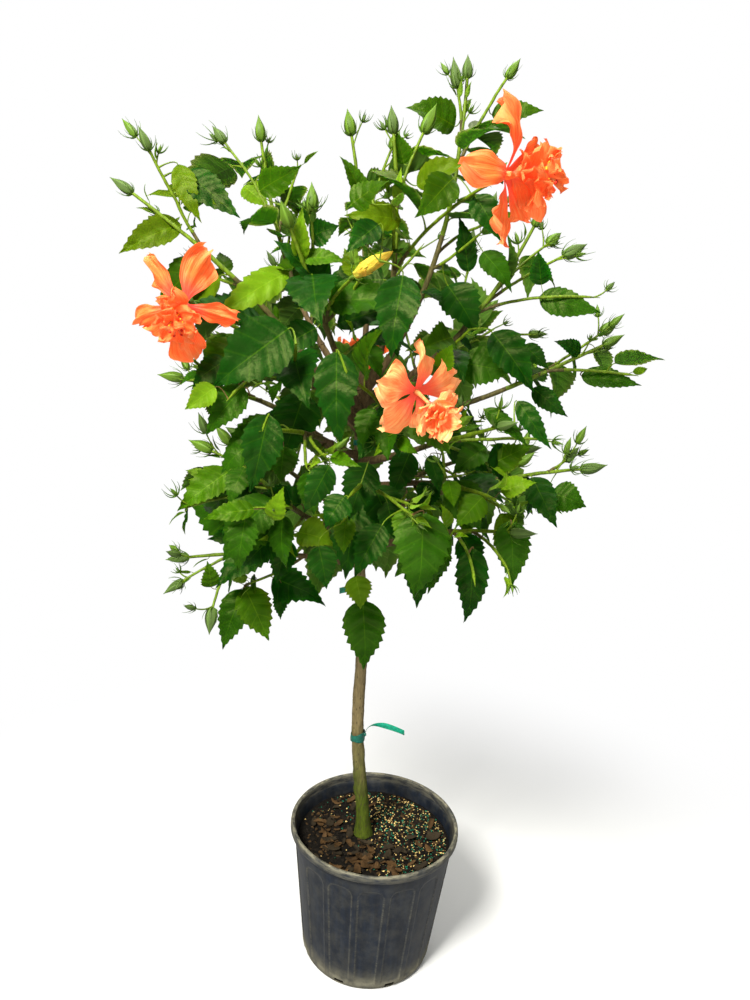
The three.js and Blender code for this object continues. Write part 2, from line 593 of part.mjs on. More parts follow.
addMesh('pot', potSolid(), COLOURS.pot);
addMesh('soil', soilSolid(), COLOURS.soil);
addMesh('trunk', trunkSolid(SOIL.top + JOINT_GAP, TRUNK.top), COLOURS.bark);
TIES.forEach((tie) => addMesh(tie.name, tieSolid(tie), COLOURS.tie));

// Each bough is cut clear of the trunk and of the boughs made before it.
let taken = trunkSolid(SOIL.top + JOINT_GAP, TRUNK.top, 2 * JOINT_GAP);
for (const mass of MASSES) {
  const bar = (extra) => bendSolid(mass.bough, taper(BOUGH, 1, extra), BOUGH.sides);
  addMesh(`bough_${mass.name}`, whole(bar(0).subtract(taken)), COLOURS.bough);
  taken = taken.add(bar(2 * JOINT_GAP));
}
for (const mass of MASSES) addMesh(`foliage_${mass.name}`, massSolid(mass), COLOURS.foliage);

export default group;
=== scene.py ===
"""The finished looks of a flowering hibiscus: a small standard tree in a plastic nursery pot.

Metres, +Z up. The origin is the centre of the pot's flat underside, and the plant's front faces -Y.
The crown grows by a seeded rule in millimetres. Its points become metres where a mesh is made.
"""

import math
from dataclasses import dataclass, field
from functools import lru_cache

import bpy
import numpy as np
from bpy.props import FloatProperty, FloatVectorProperty, IntProperty, PointerProperty
from mathutils import Matrix, Vector, noise


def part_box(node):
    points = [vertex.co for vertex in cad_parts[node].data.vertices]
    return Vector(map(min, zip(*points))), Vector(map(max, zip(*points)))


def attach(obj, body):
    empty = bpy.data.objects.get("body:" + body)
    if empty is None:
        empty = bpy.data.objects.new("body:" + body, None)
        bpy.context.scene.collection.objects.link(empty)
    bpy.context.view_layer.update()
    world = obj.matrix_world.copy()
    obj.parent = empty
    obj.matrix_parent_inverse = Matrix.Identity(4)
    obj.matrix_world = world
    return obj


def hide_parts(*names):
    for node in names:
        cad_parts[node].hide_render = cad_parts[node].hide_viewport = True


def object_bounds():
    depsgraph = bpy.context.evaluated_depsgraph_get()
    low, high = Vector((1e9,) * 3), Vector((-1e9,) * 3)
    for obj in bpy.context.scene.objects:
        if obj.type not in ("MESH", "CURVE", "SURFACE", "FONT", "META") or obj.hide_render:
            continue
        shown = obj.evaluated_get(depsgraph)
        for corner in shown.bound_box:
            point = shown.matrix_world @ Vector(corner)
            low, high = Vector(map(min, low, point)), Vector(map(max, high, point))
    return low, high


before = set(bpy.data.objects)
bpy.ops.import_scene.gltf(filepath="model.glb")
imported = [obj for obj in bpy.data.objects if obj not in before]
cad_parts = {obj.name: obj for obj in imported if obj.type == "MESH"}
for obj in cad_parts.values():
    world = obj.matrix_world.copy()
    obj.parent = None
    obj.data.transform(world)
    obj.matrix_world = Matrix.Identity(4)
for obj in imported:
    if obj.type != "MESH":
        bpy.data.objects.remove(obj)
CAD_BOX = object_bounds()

bl_info = {
    "name": "Potted hibiscus",
    "version": (1, 0, 0),
    "blender": (4, 5, 0),
    "location": "3D View > Sidebar > Hibiscus",
    "description": "Grows the finished surfaces of a potted hibiscus around its frame",
    "category": "Object",
}

MM = 0.001
UP = np.array([0.0, 0.0, 1.0])
ACROSS = np.array([1.0, 0.0, 0.0])
FULL_TURN = 2 * math.pi

# The pot and the soil in it, in millimetres. The soil's surface falls from its crest to the wall, and nothing
# lies on it within the bare radius round the trunk.
POT_WALL = 2.2
POT_FLOOR = 2.5
SLOT_WIDTH = 16.0
SLOT_TOP = 11.5
SOIL_TOP = 214.0
SOIL_CREST = 45.0
SOIL_FALL = 6.0
SOIL_BARE = 19.0

# The trunk: where its line stands, and how it bows and tapers.
TRUNK_FOOT = (-18.0, 0.0)
TRUNK_TIP = (-69.0, 0.0)
TRUNK_TOP = 962.0
TRUNK_BOW = 4.3
TRUNK_SWAY = 3.0
TRUNK_RADII = (10.8, 7.0)
TRUNK_FLARE = (5.5, 18.0)

# Limbs and shoots: radii where they start and end, and how far one runs straight before it bends.
BOUGH = {"root": 6.4, "tip": 4.6, "reach": 0.55, "out": 0.55, "up": 0.4}
STEM = {"root": 4.6, "tip": 2.5, "lead": 0.42, "samples": 16}
TWIG = {"root": 2.4, "tip": 2.1, "lead": 0.4, "samples": 8, "follow": 0.6}
FILL = {
    "from": 0.08, "to": 0.62, "shortest": 75, "longest": 125, "retry": 51, "shrink": 0.92,
    "follow": 0.5, "outward": 0.3, "rise": 0.22, "room": 12,
}
JOINT_GAP = 0.3

# Leaves: how large they are, where they leave a shoot, and how they hang and turn.
LEAF = {
    "large": 112, "small": 40, "width": 0.7, "stalk": 0.26, "cup": 0.12,
    "spacing": 30, "bare_foot": 12, "bare_tip": 16, "bloom_stalk": 30,
    "turn": 137.5, "jitter": 22, "retry": 47, "shrink": 0.93, "tries": 12, "apart": 14, "clear": 9,
    "hang_low": 1.15, "hang_high": 0.3, "hang_spread": (0.6, 1.3), "size_spread": (0.86, 1.12),
    "stalk_follow": 0.7, "stalk_rise": 0.15, "follow": 0.3, "spread": 0.35, "outward": 0.6, "turned": 0.7,
}
# The leaves between those of the source's rule.
MORE = {
    "bare_foot": 18, "bare_tip": 12, "bud_tip": 50, "least": 24, "spacing": 44, "large": 100, "small": 58,
    "tries": 6, "retry": 61,
}

# Buds and blooms. seat and stalk are how far, in bud lengths, a shoot stops short of its end for a common bud
# and for the opening one.
BUD = {"length": 42, "least": 0.7, "opened": 1.3, "girth": 0.22, "seat": 0.97, "stalk": 1.6}
SIDE_BUD = {"second": 0.6, "reach": (12, 36), "sizes": (10.0, 14.0, 20.0, 28.0), "small": 19, "girth": 0.175}
BLOOM = {"petal": 72, "petals": 5, "reflex": 0.42, "seat": 3, "column": 40, "tuft": 24}

# The crown's axis and levels, and the room that the masses and the limbs keep.
CROWN = {"axis": (-65.0, 0.0), "low": 600, "high": 1350, "heart": 930, "rise": 0.5}
ROOM = {"between": 5, "limb": 3.5, "limb_step": 12}

# Where the photograph shows sky beside and between the shoots: the middle of each opening, as seen by the
# camera on an upright sheet through the trunk (x and z), and its radius.
EYE = (-38.0, -1170.0, 1087.5)
SKY = (
    (-440, 1215, 34), (-425, 1160, 32), (-400, 1112, 30), (-338, 1135, 22), (-350, 975, 28),
    (-325, 868, 20), (-368, 760, 28), (-345, 715, 16), (-328, 590, 24), (-185, 1290, 28),
    (-250, 1282, 18), (-105, 1278, 36), (-68, 1318, 20), (-60, 1275, 18), (5, 1396, 26),
    (0, 1345, 16), (85, 1372, 24), (200, 1172, 30), (258, 1105, 24), (150, 1062, 34),
    (332, 955, 30), (300, 945, 20), (242, 945, 22), (130, 905, 20), (240, 868, 30),
    (228, 690, 28), (150, 695, 18), (155, 650, 16), (272, 768, 20), (-235, 1130, 24),
    (-130, 1155, 18), (18, 1172, 24), (70, 1178, 18), (22, 1070, 18), (-228, 925, 22),
    (-155, 835, 16), (160, 1190, 14), (110, 1110, 14), (120, 955, 16), (-60, 640, 18),
    (-300, 1155, 16), (-305, 905, 14), (-310, 700, 24), (-243, 520, 26), (-160, 585, 20),
    (82, 630, 26), (210, 1155, 14), (208, 1060, 24), (282, 1045, 14), (262, 980, 24),
    (-420, 1085, 24), (-350, 993, 22),
    (-302, 725, 16), (-306, 600, 12), (86, 660, 10), (65, 858, 9), (152, 787, 12), (192, 892, 10),
    (-384, 1232, 14), (-12, 1297, 11), (23, 1207, 10), (240, 1042, 13), (187, 937, 14),
    (168, 904, 11), (227, 917, 14), (-223, 1200, 10),
)
# The opening bud, which no leaf hides: its middle on that sheet, a radius, and the depth that it stands at.
SHOWN_BUD = (-76, 1122, 34, -240)

# The finishes of leaves, of shoots and stalks, and of the bracts in the piece of buds, by number.
DEEP, FULL, FRESH, BRIGHT, YOUNG, UNDER_FULL, UNDER_YOUNG, OLIVE, DARK_OLIVE = range(9)
BARK_AGE, OLIVE_AGE, GREEN_AGE, RED_STALK = range(4)
BRACT = 2

# The leaves that stand clear at the front, on the same sheet: the middle of the blade (x and z), its length,
# the way that it points in degrees from +X to up, its finish, and its width as a share of a common leaf's.
CLEAR_LEAVES = (
    # High on the left.
    (-291, 1208, 104, -35, DEEP, 0.6), (-325, 1208, 86, -65, OLIVE, 0.55),
    (-379, 1144, 97, -150, OLIVE, 0.65), (-199, 1236, 71, 30, DARK_OLIVE, 0.8),
    (-231, 1210, 48, -35, BRIGHT, 0.95), (-288, 1203, 71, -25, OLIVE, 0.6),
    # High in the middle.
    (-167, 1166, 75, 90, BRIGHT, 0.5), (-135, 1171, 45, 25, DEEP, 1.25),
    (-101, 1244, 64, 125, DARK_OLIVE, 0.6), (-69, 1194, 81, -180, OLIVE, 0.7),
    (-76, 1227, 62, 35, DARK_OLIVE, 1), (-132, 1135, 71, 0, FRESH, 0.55),
    (-82, 1165, 62, -135, DEEP, 0.9),
    # High on the right.
    (0, 1328, 72, 165, DARK_OLIVE, 0.95), (26, 1258, 85, 25, OLIVE, 0.65),
    (14, 1225, 76, -130, DARK_OLIVE, 0.95), (-38, 1286, 43, 110, DARK_OLIVE, 0.95),
    (116, 1340, 70, 5, DARK_OLIVE, 0.65), (90, 1204, 72, -55, DEEP, 0.8),
    (61, 1168, 79, 105, DEEP, 0.55), (111, 1133, 72, -50, FULL, 0.75),
    (169, 1143, 48, 105, DEEP, 0.9),
    # On the right.
    (218, 1096, 90, -10, FULL, 0.65), (67, 1077, 86, -55, DEEP, 0.95),
    (-26, 1062, 121, -95, DEEP, 0.75), (110, 1000, 75, -5, FULL, 1.1),
    (147, 1010, 107, -50, DEEP, 0.7), (179, 1020, 50, -40, DEEP, 0.8),
    (222, 1038, 45, 160, DEEP, 0.8), (291, 994, 87, -5, FULL, 0.55),
    (207, 956, 67, -35, DEEP, 0.65), (188, 921, 88, -50, DEEP, 0.5),
    (148, 915, 86, -35, FULL, 0.45), (50, 1011, 44, 70, FRESH, 1),
    # On the left.
    (-234, 990, 143, -140, DEEP, 0.9), (-236, 1078, 130, -145, BRIGHT, 0.5),
    (-70, 1082, 112, 5, FULL, 0.75), (-104, 939, 140, -85, DEEP, 0.65),
    (-294, 963, 68, -140, DEEP, 0.95), (-305, 926, 56, -140, BRIGHT, 0.95),
    (-269, 910, 92, -125, FULL, 0.75), (-166, 894, 103, -105, DEEP, 0.95),
    (-215, 849, 121, -100, DEEP, 0.7), (-180, 836, 54, -90, FULL, 1.25),
    (-298, 786, 101, -140, FRESH, 0.7), (-127, 801, 83, -115, DEEP, 0.75),
    (-171, 1017, 77, -145, DEEP, 0.85),
    # Low on the left.
    (-259, 754, 80, -170, FRESH, 0.6), (-184, 775, 60, 75, BRIGHT, 0.75),
    (-238, 707, 93, -95, FULL, 0.7), (-123, 725, 61, -10, BRIGHT, 1.25),
    (-144, 640, 96, -15, DEEP, 0.95), (-248, 581, 102, -105, FULL, 0.7),
    (-210, 593, 93, -60, FRESH, 0.85), (-286, 654, 48, 95, FRESH, 0.9),
    (-111, 678, 69, -75, DEEP, 0.95), (-173, 613, 51, -90, DEEP, 0.7),
    # Low in the middle.
    (-64, 802, 93, -105, DEEP, 0.85), (-98, 768, 59, -120, DEEP, 1.1),
    (-80, 732, 60, -90, FRESH, 0.8), (-43, 710, 93, -115, DEEP, 0.75),
    (-41, 570, 112, -85, FULL, 0.85), (-53, 641, 54, -75, BRIGHT, 1.1),
    (38, 707, 136, -90, FULL, 0.9), (-3, 833, 74, -110, DEEP, 0.85),
    # Low on the right.
    (49, 837, 60, -70, DEEP, 0.65), (105, 783, 63, -130, FRESH, 1),
    (175, 828, 54, 25, BRIGHT, 0.9), (253, 813, 56, -15, FULL, 1.25),
    (119, 664, 121, -90, DEEP, 0.6), (176, 722, 103, -85, FULL, 0.75),
    (158, 875, 72, 35, FRESH, 0.85), (97, 863, 65, -140, FULL, 0.95),
)
# How a clear leaf joins the crown: the stretch of a line that it may leave from and the stations in it, how
# much one further forward is preferred, how far the blade leans forward and faces up, and how much its stalk
# rises. Nothing hides the middle of it, whose radius is a share of its length, from a depth before it.
CLEAR = {
    "from": 0.2, "to": 0.97, "stations": 12, "forward": 0.12, "lean": -0.25, "up": 0.4, "rise": 0.3,
    "middle": 0.34, "before": 6,
}


@dataclass
class Shoot:
    """A shoot: where it ends, how far up its mass's stem it leaves, and what it ends in."""

    tip: tuple
    at: float = 0.0
    ends: str = "bud"
    facing: tuple = None
    scale: float = 1.0


@dataclass
class Mass:
    """One mass of foliage, and what has grown on it."""

    name: str
    seed: int
    root: float
    end: tuple
    twigs: int
    shoots: tuple
    draw: object = None
    bough: object = None
    lines: list = field(default_factory=list)
    blades: list = field(default_factory=list)
    space: object = None


def masses():
    """The masses of foliage. Each has its seed, the height on the trunk where its limb leaves, the point
    that the limb heads for, how many twigs fill it, and its shoots, of which the first is its stem."""
    return [
        Mass("top_right", 130, 948, (4, -20, 1082), 1, (
            Shoot((44, 10, 1409)), Shoot((23, 0, 1402), 0.78), Shoot((116, 30, 1414), 0.68),
            Shoot((107, 40, 1205), 0.4, "leaves"))),
        Mass("top_centre", 107, 930, (-29, -80, 1098), 2, (
            Shoot((-53, -80, 1321)), Shoot((5, -60, 1330), 0.66),
            Shoot((76, -250, 1223), 0.4, "bloom", (0.95, -0.28, -0.12), 1.1))),
        Mass("top_left", 97, 938, (-180, 40, 1089), 2, (
            Shoot((-242, 60, 1326)), Shoot((-312, 80, 1311), 0.6),
            Shoot((-184, 100, 1270), 0.55, "leaves"))),
        Mass("high_left", 97, 912, (-205, -50, 1078), 2, (
            Shoot((-417, -50, 1217)), Shoot((-370, -80, 1277), 0.6),
            Shoot((-392, -80, 1125), 0.6, "leaves"))),
        Mass("front_left", 23, 902, (-147, -140, 1008), 2, (
            Shoot((-262, -215, 1062), 0, "bloom", (-0.2, -0.95, -0.2), 0.95),
            Shoot((-219, -240, 958), 0.45, "leaves"))),
        Mass("front_top", 51, 921, (-118, -150, 1068), 2, (
            Shoot((-171, -200, 1188)), Shoot((-140, -150, 1216), 0.5),
            Shoot((-48, -320, 1125), 0.35, "opening"))),
        Mass("front_middle", 81, 891, (-38, -150, 958), 2, (
            Shoot((12, -285, 976), 0, "bloom", (0.42, -0.88, -0.22), 0.85),
            Shoot((-80, -270, 1000), 0.35, "leaves"))),
        Mass("front_inner", 44, 857, (-130, -130, 915), 2, (
            Shoot((-180, -240, 925), 0, "leaves"), Shoot((-100, -260, 905), 0.35, "leaves"))),
        Mass("middle_left", 44, 838, (-170, -45, 935), 2, (
            Shoot((-351, -60, 963)), Shoot((-290, -140, 998), 0.5, "leaves"))),
        Mass("low_left", 59, 742, (-139, -95, 783), 1, (
            Shoot((-257, -120, 909)), Shoot((-297, -100, 882), 0.66),
            Shoot((-305, -120, 788), 0.5, "leaves"), Shoot((-158, -250, 834), 0.3))),
        Mass("lowest_left", 74, 690, (-140, -45, 714), 2, (
            Shoot((-333, -80, 701)), Shoot((-328, -110, 660), 0.62), Shoot((-259, -130, 612), 0.6))),
        Mass("low_front", 45, 778, (-48, -120, 858), 2, (
            Shoot((-70, -275, 860), 0, "leaves"), Shoot((10, -240, 835), 0.35, "leaves"))),
        Mass("lowest_front", 59, 616, (-50, -70, 656), 0, (
            Shoot((-50, -95, 680), 0, "leaves"),)),
        Mass("lowest_right", 112, 715, (55, -95, 783), 2, (
            Shoot((174, -180, 807)), Shoot((135, -220, 768), 0.6, "leaves"),
            Shoot((96, -215, 743), 0.45, "leaves"))),
        Mass("inner_right", 68, 812, (50, -120, 860), 2, (
            Shoot((110, -225, 860), 0, "leaves"), Shoot((40, -240, 895), 0.4, "leaves"))),
        Mass("low_right", 17, 760, (60, -40, 830), 2, (
            Shoot((289, -50, 876)), Shoot((182, -60, 893), 0.5), Shoot((253, -20, 898), 0.75))),
        Mass("middle_right", 23, 893, (80, -30, 951), 2, (
            Shoot((289, -40, 1061)), Shoot((310, -60, 1008), 0.66, "leaves"),
            Shoot((300, 40, 1080), 0.62))),
        Mass("high_right", 3, 935, (78, 0, 1053), 1, (
            Shoot((163, -20, 1224)), Shoot((239, 30, 1181), 0.5),
            Shoot((251, -30, 1108), 0.45, "leaves"), Shoot((210, 80, 1199), 0.55))),
        Mass("front_right", 81, 848, (41, -140, 914), 2, (
            Shoot((127, -215, 955)), Shoot((182, -160, 928), 0.45, "leaves"))),
        Mass("top_back", 42, 952, (-70, 70, 1098), 1, (
            Shoot((-120, 110, 1353)), Shoot((-40, 150, 1338), 0.5), Shoot((-60, 215, 1233), 0.4))),
        Mass("back_left", 21, 895, (-165, 120, 968), 2, (
            Shoot((-300, 235, 1048)), Shoot((-350, 130, 1008), 0.55), Shoot((-220, 250, 1158), 0.5))),
        Mass("back_right", 25, 905, (30, 120, 988), 2, (
            Shoot((150, 255, 1098)), Shoot((225, 170, 1048), 0.55), Shoot((90, 210, 1208), 0.5))),
        Mass("back_middle", 7, 840, (-70, 140, 913), 2, (
            Shoot((-80, 320, 968), 0, "bloom", (-0.2, 0.95, 0.1), 0.9),
            Shoot((10, 310, 908), 0.45), Shoot((-150, 320, 878), 0.5, "leaves"))),
        Mass("low_back_left", 76, 755, (-160, 90, 798), 2, (
            Shoot((-300, 170, 858)), Shoot((-230, 260, 788), 0.55),
            Shoot((-310, 80, 788), 0.5, "leaves"))),
        Mass("low_back_right", 76, 780, (40, 100, 828), 2, (
            Shoot((230, 130, 868)), Shoot((150, 240, 838), 0.55),
            Shoot((210, 70, 798), 0.5, "leaves"))),
        Mass("lowest_back", 78, 660, (-50, 110, 708), 2, (
            Shoot((-60, 260, 728)), Shoot((60, 200, 698), 0.5),
            Shoot((-150, 190, 668), 0.5, "leaves"))),
    ]


# Small sums on points and directions.


def mix(start, end, share):
    return start + (end - start) * share


def clamp(value, low=0.0, high=1.0):
    return max(low, min(high, value))


def unit(way):
    return way / np.linalg.norm(way)


def point(values):
    return np.array(values, float)


def smooth(values, low, high):
    """Rises from 0 at low to 1 at high, level at both ends."""
    share = np.clip((np.asarray(values, float) - low) / (high - low), 0, 1)
    return share * share * (3 - 2 * share)


def square_off(way, axis):
    """The direction of what is left of a way without its part along an axis."""
    return unit(way - axis * way.dot(axis))


def square_to(axis, degrees):
    """A direction square to an axis, turned by an angle about it."""
    across = unit(np.cross(axis, ACROSS if abs(axis[2]) > 0.9 else UP))
    turn = math.radians(degrees)
    return across * math.cos(turn) + np.cross(axis, across) * math.sin(turn)


def ring_turns(sides):
    """The angles of the points round a ring."""
    return np.arange(sides) * FULL_TURN / sides


def ring(radius, sides, z=0.0):
    """The points round a ring at a height."""
    turns = [side * FULL_TURN / sides for side in range(sides)]
    return [(radius * math.cos(turn), radius * math.sin(turn), z) for turn in turns]


def height_share(z):
    """How high in the crown a height is, from 0 to 1."""
    return clamp((z - CROWN["low"]) / (CROWN["high"] - CROWN["low"]))


def millimetres(settings, *names):
    """Some of the settings' lengths, in millimetres."""
    return [getattr(settings, name) / MM for name in names]


def seeded(seed):
    """A small seeded generator, the same as the source's."""
    state = seed
    bits = 0xFFFFFFFF

    def draw():
        nonlocal state
        state = (state + 0x6D2B79F5) & bits
        t = ((state ^ (state >> 15)) * (1 | state)) & bits
        t = ((t + (((t ^ (t >> 7)) * (61 | t)) & bits)) & bits) ^ t
        return (t ^ (t >> 14)) / (bits + 1)

    return draw


class Bend:
    """A quadratic bend. Its place and way can be had by share, or by share of its length."""

    STEPS = 200
    NUDGE = 0.0001

    def __init__(self, start, knee, end):
        self.start, self.knee, self.end = start, knee, end
        stations = self.points(self.STEPS)
        pieces = np.linalg.norm(np.diff(stations, axis=0), axis=1)
        self.lengths = np.concatenate(([0.0], np.cumsum(pieces)))
        self.length = self.lengths[-1]

    def at(self, share):
        back = 1 - share
        return back * back * self.start + 2 * back * share * self.knee + share * share * self.end

    def points(self, count):
        return np.array([self.at(k / count) for k in range(count + 1)])

    def way(self, share):
        return unit(self.at(min(1, share + self.NUDGE)) - self.at(max(0, share - self.NUDGE)))

    def share_of(self, part):
        return float(np.interp(part * self.length, self.lengths, np.linspace(0, 1, self.STEPS + 1)))

    def place_at(self, part):
        return self.at(self.share_of(part))

    def way_at(self, part):
        return self.way(self.share_of(part))


def bend_from(start, leaving, end, lead):
    """A bend that leaves a point along a direction and ends at another point."""
    return Bend(start, start + leaving * lead * np.linalg.norm(end - start), end)


# Growth, by the source's rule.


def trunk_at(height):
    """The trunk's centre and radius at a height."""
    share = (height - SOIL_TOP) / (TRUNK_TOP - SOIL_TOP)
    flare, flare_height = TRUNK_FLARE
    centre = point((
        mix(TRUNK_FOOT[0], TRUNK_TIP[0], share) - TRUNK_BOW * (1 - math.cos(4 * math.pi * share)),
        TRUNK_SWAY * math.sin(FULL_TURN * share),
        height,
    ))
    return centre, mix(*TRUNK_RADII, share) + flare * math.exp(-(height - SOIL_TOP) / flare_height)


def outwards(place):
    """The way out of the crown from its heart, which leaves and twigs lean towards."""
    return unit(point((
        place[0] - CROWN["axis"][0],
        place[1] - CROWN["axis"][1],
        CROWN["rise"] * (place[2] - CROWN["heart"]),
    )))


def bough_line(mass):
    """A bough's line, from the trunk's centre part of the way to the point that the limb heads for."""
    start, _ = trunk_at(mass.root)
    heading = point(mass.end)
    knee = start + (heading - start) * point((BOUGH["out"], BOUGH["out"], BOUGH["up"]))
    limb = Bend(start, knee, heading)
    return Bend(start, mix(start, knee, BOUGH["reach"]), limb.at(BOUGH["reach"]))


@dataclass
class Line:
    """A stem, shoot or twig of a mass."""

    bend: Bend
    size: dict
    ends: str
    facing: tuple = None
    scale: float = 1.0
    bud: float = 0.0
    leaves: list = field(default_factory=list)


def grow_lines(mass):
    """A mass's lines: its stem and its other shoots."""
    mass.draw = seeded(mass.seed)
    mass.bough = bough_line(mass)
    leaving = mass.bough.way(1)
    start = mass.bough.at(1) + leaving * JOINT_GAP
    first = mass.shoots[0]
    stem = bend_from(start, leaving, point(first.tip), STEM["lead"])
    mass.lines = [Line(stem, STEM, first.ends, first.facing, first.scale)]
    for side in mass.shoots[1:]:
        foot = stem.at(side.at)
        tip = point(side.tip)
        way = unit(stem.way(side.at) * TWIG["follow"] + unit(tip - foot))
        line = bend_from(foot, way, tip, TWIG["lead"])
        mass.lines.append(Line(line, TWIG, side.ends, side.facing, side.scale))


class Crown:
    """All the masses, the room that each holds, and the limbs that they keep clear of."""

    def __init__(self):
        self.masses = masses()
        for mass in self.masses:
            grow_lines(mass)
        heights = np.arange(SOIL_TOP, TRUNK_TOP + 0.5, ROOM["limb_step"])
        limbs = [trunk_at(height) for height in heights]
        for mass in self.masses:
            for share in np.linspace(0, 1, 13):
                limbs.append((mass.bough.at(share), mix(BOUGH["root"], BOUGH["tip"], share)))
        self.limb_places = np.array([place for place, _ in limbs])
        self.limb_reaches = np.array([radius + ROOM["limb"] for _, radius in limbs])
        for mass in self.masses:
            self.mark_space(mass)
        self.gather()
        for mass in self.masses:
            self.grow_twigs(mass)
            self.mark_space(mass)
            self.gather()
        for mass in self.masses:
            for line in mass.lines:
                share = mix(BUD["least"], 1, mass.draw())
                line.bud = BUD["length"] * share * (BUD["opened"] if line.ends == "opening" else 1)
                line.leaves = self.grow_leaves(mass, line)

    def mark_space(self, mass):
        """The points that mark out a mass's own space: along its lines, and around its blooms."""
        marks = [line.bend.points(line.size["samples"]) for line in mass.lines]
        for line in mass.lines:
            if line.ends != "bloom":
                continue
            bloom = bloom_frame(line)
            for petal in petal_frames(bloom):
                reach = bloom["scale"] * BLOOM["petal"]
                marks.append([petal["base"] + petal["along"] * share * reach for share in (0.35, 0.7, 1)])
            far = bloom["scale"] * (BLOOM["column"] + BLOOM["tuft"])
            marks.append([bloom["centre"] + bloom["facing"] * far])
        mass.space = np.concatenate(marks)

    def gather(self):
        """All the masses' marks in one array, with where each mass's own begin."""
        self.marks = np.concatenate([mass.space for mass in self.masses])
        self.starts = np.cumsum([0] + [len(mass.space) for mass in self.masses])[:-1]

    def has_room(self, mass, points, room=ROOM["between"]):
        """Whether points lie in a mass's own space, clear of the other masses, the trunk and the boughs."""
        points = np.asarray(points)
        away = np.linalg.norm(points[:, None] - self.limb_places, axis=2)
        if (away < self.limb_reaches).any():
            return False
        away = np.linalg.norm(points[:, None] - self.marks, axis=2)
        nearest = np.minimum.reduceat(away, self.starts, axis=1)
        own = self.masses.index(mass)
        others = np.delete(nearest, own, axis=1)
        return bool((others.min(axis=1) > nearest[:, own] + room).all())

    def grow_twigs(self, mass):
        """The twigs that fill a mass around its stem, where they keep to the mass's own space."""
        stem = mass.lines[0].bend
        phase = 360 * mass.draw()
        for k in range(mass.twigs):
            at = mix(FILL["from"], FILL["to"], (k + 0.5 * mass.draw()) / mass.twigs)
            length = mix(FILL["shortest"], FILL["longest"], mass.draw())
            foot = stem.at(at)
            for attempt in range(LEAF["tries"]):
                side = square_to(stem.way(at), phase + LEAF["turn"] * k + FILL["retry"] * attempt)
                way = unit(side + stem.way(at) * FILL["follow"] + outwards(foot) * FILL["outward"])
                reach = length * FILL["shrink"] ** attempt
                tip = foot + way * reach + UP * FILL["rise"] * reach
                if self.has_room(mass, [mix(foot, tip, 0.6), tip], FILL["room"]):
                    mass.lines.append(Line(bend_from(foot, way, tip, TWIG["lead"]), TWIG, "leaves"))
                    break

    def grow_leaves(self, mass, line):
        """The leaves along one line of a mass. A leaf that finds no room is skipped."""
        length = line.bend.length
        bare_tip = 2
        if line.ends != "leaves":
            bare_tip = LEAF["bare_tip"] + (LEAF["bloom_stalk"] if line.ends == "bloom" else BUD["length"])
        leafy = length - LEAF["bare_foot"] - bare_tip
        count = max(1, math.floor(leafy / LEAF["spacing"] + 0.5))
        phase = 360 * mass.draw()
        leaves = []
        for k in range(count):
            share = min(1, (LEAF["bare_foot"] + (k + 0.5) * leafy / count) / length)
            foot = line.bend.place_at(share)
            axis = line.bend.way_at(share)
            height = height_share(foot[2])
            hang = mix(LEAF["hang_low"], LEAF["hang_high"], height) * mix(*LEAF["hang_spread"], mass.draw())
            full = mix(LEAF["large"], LEAF["small"], share) * mix(*LEAF["size_spread"], mass.draw())
            jitter = mix(-LEAF["jitter"], LEAF["jitter"], mass.draw())
            for attempt in range(LEAF["tries"]):
                blade = full * LEAF["shrink"] ** attempt
                side = square_to(axis, phase + LEAF["turn"] * k + jitter + LEAF["retry"] * attempt)
                leaf = leaf_frame(foot, axis, side, blade, hang)
                if self.leaf_fits(mass, leaf):
                    leaf.update(share=share, height=height)
                    leaves.append(leaf)
                    break
        return leaves

    def leaf_fits(self, mass, leaf):
        """Whether a leaf is clear of its mass's other leaves and lines, and in the mass's own space. One
        that fits is kept in mind for the next."""
        points = leaf_points(leaf)
        blade = points[1:]
        for others, least in ((mass.blades, LEAF["apart"]), (mass.space, LEAF["clear"])):
            if len(others) and (np.linalg.norm(blade[:, None] - np.asarray(others), axis=2) < least).any():
                return False
        if not self.has_room(mass, points):
            return False
        mass.blades.extend(blade)
        return True


def leaf_frame(foot, axis, side, blade, hang):
    """One leaf's frame: its foot on the twig, the end of its stalk, and the blade's three ways."""
    stalk_way = unit(side + axis * LEAF["stalk_follow"] + UP * LEAF["stalk_rise"])
    base = foot + stalk_way * LEAF["stalk"] * blade
    along = unit(side + axis * LEAF["follow"] + outwards(foot) * LEAF["spread"] - UP * hang)
    turned = LEAF["turned"] if foot[1] > CROWN["axis"][1] else -LEAF["turned"]
    upper = square_off(UP + outwards(foot) * LEAF["outward"] + point((0, turned, 0)), along)
    return {
        "foot": foot, "base": base, "along": along, "upper": upper, "across": np.cross(along, upper),
        "blade": blade, "stalk_way": stalk_way,
    }


def leaf_points(leaf):
    """The points of a leaf that are tested for room."""
    places = ((0, 0), (0.4, 0), (0.7, 0), (1, 0), (0.4, 1), (0.4, -1), (0.7, 0.5), (0.7, -0.5),
              (0.2, 0.5), (0.2, -0.5))
    half = LEAF["width"] * leaf["blade"] / 2
    return np.array([
        leaf["base"] + leaf["along"] * length * leaf["blade"] + leaf["across"] * width * half
        + leaf["upper"] * LEAF["cup"] * abs(width) * half
        for length, width in places
    ])


def bloom_frame(line):
    """A bloom's frame: its centre, where it faces, and two directions square to that."""
    front = unit(point(line.facing))
    side = square_to(front, 0)
    return {"centre": line.bend.at(1), "facing": front, "side": side, "rise": np.cross(front, side),
            "scale": line.scale}


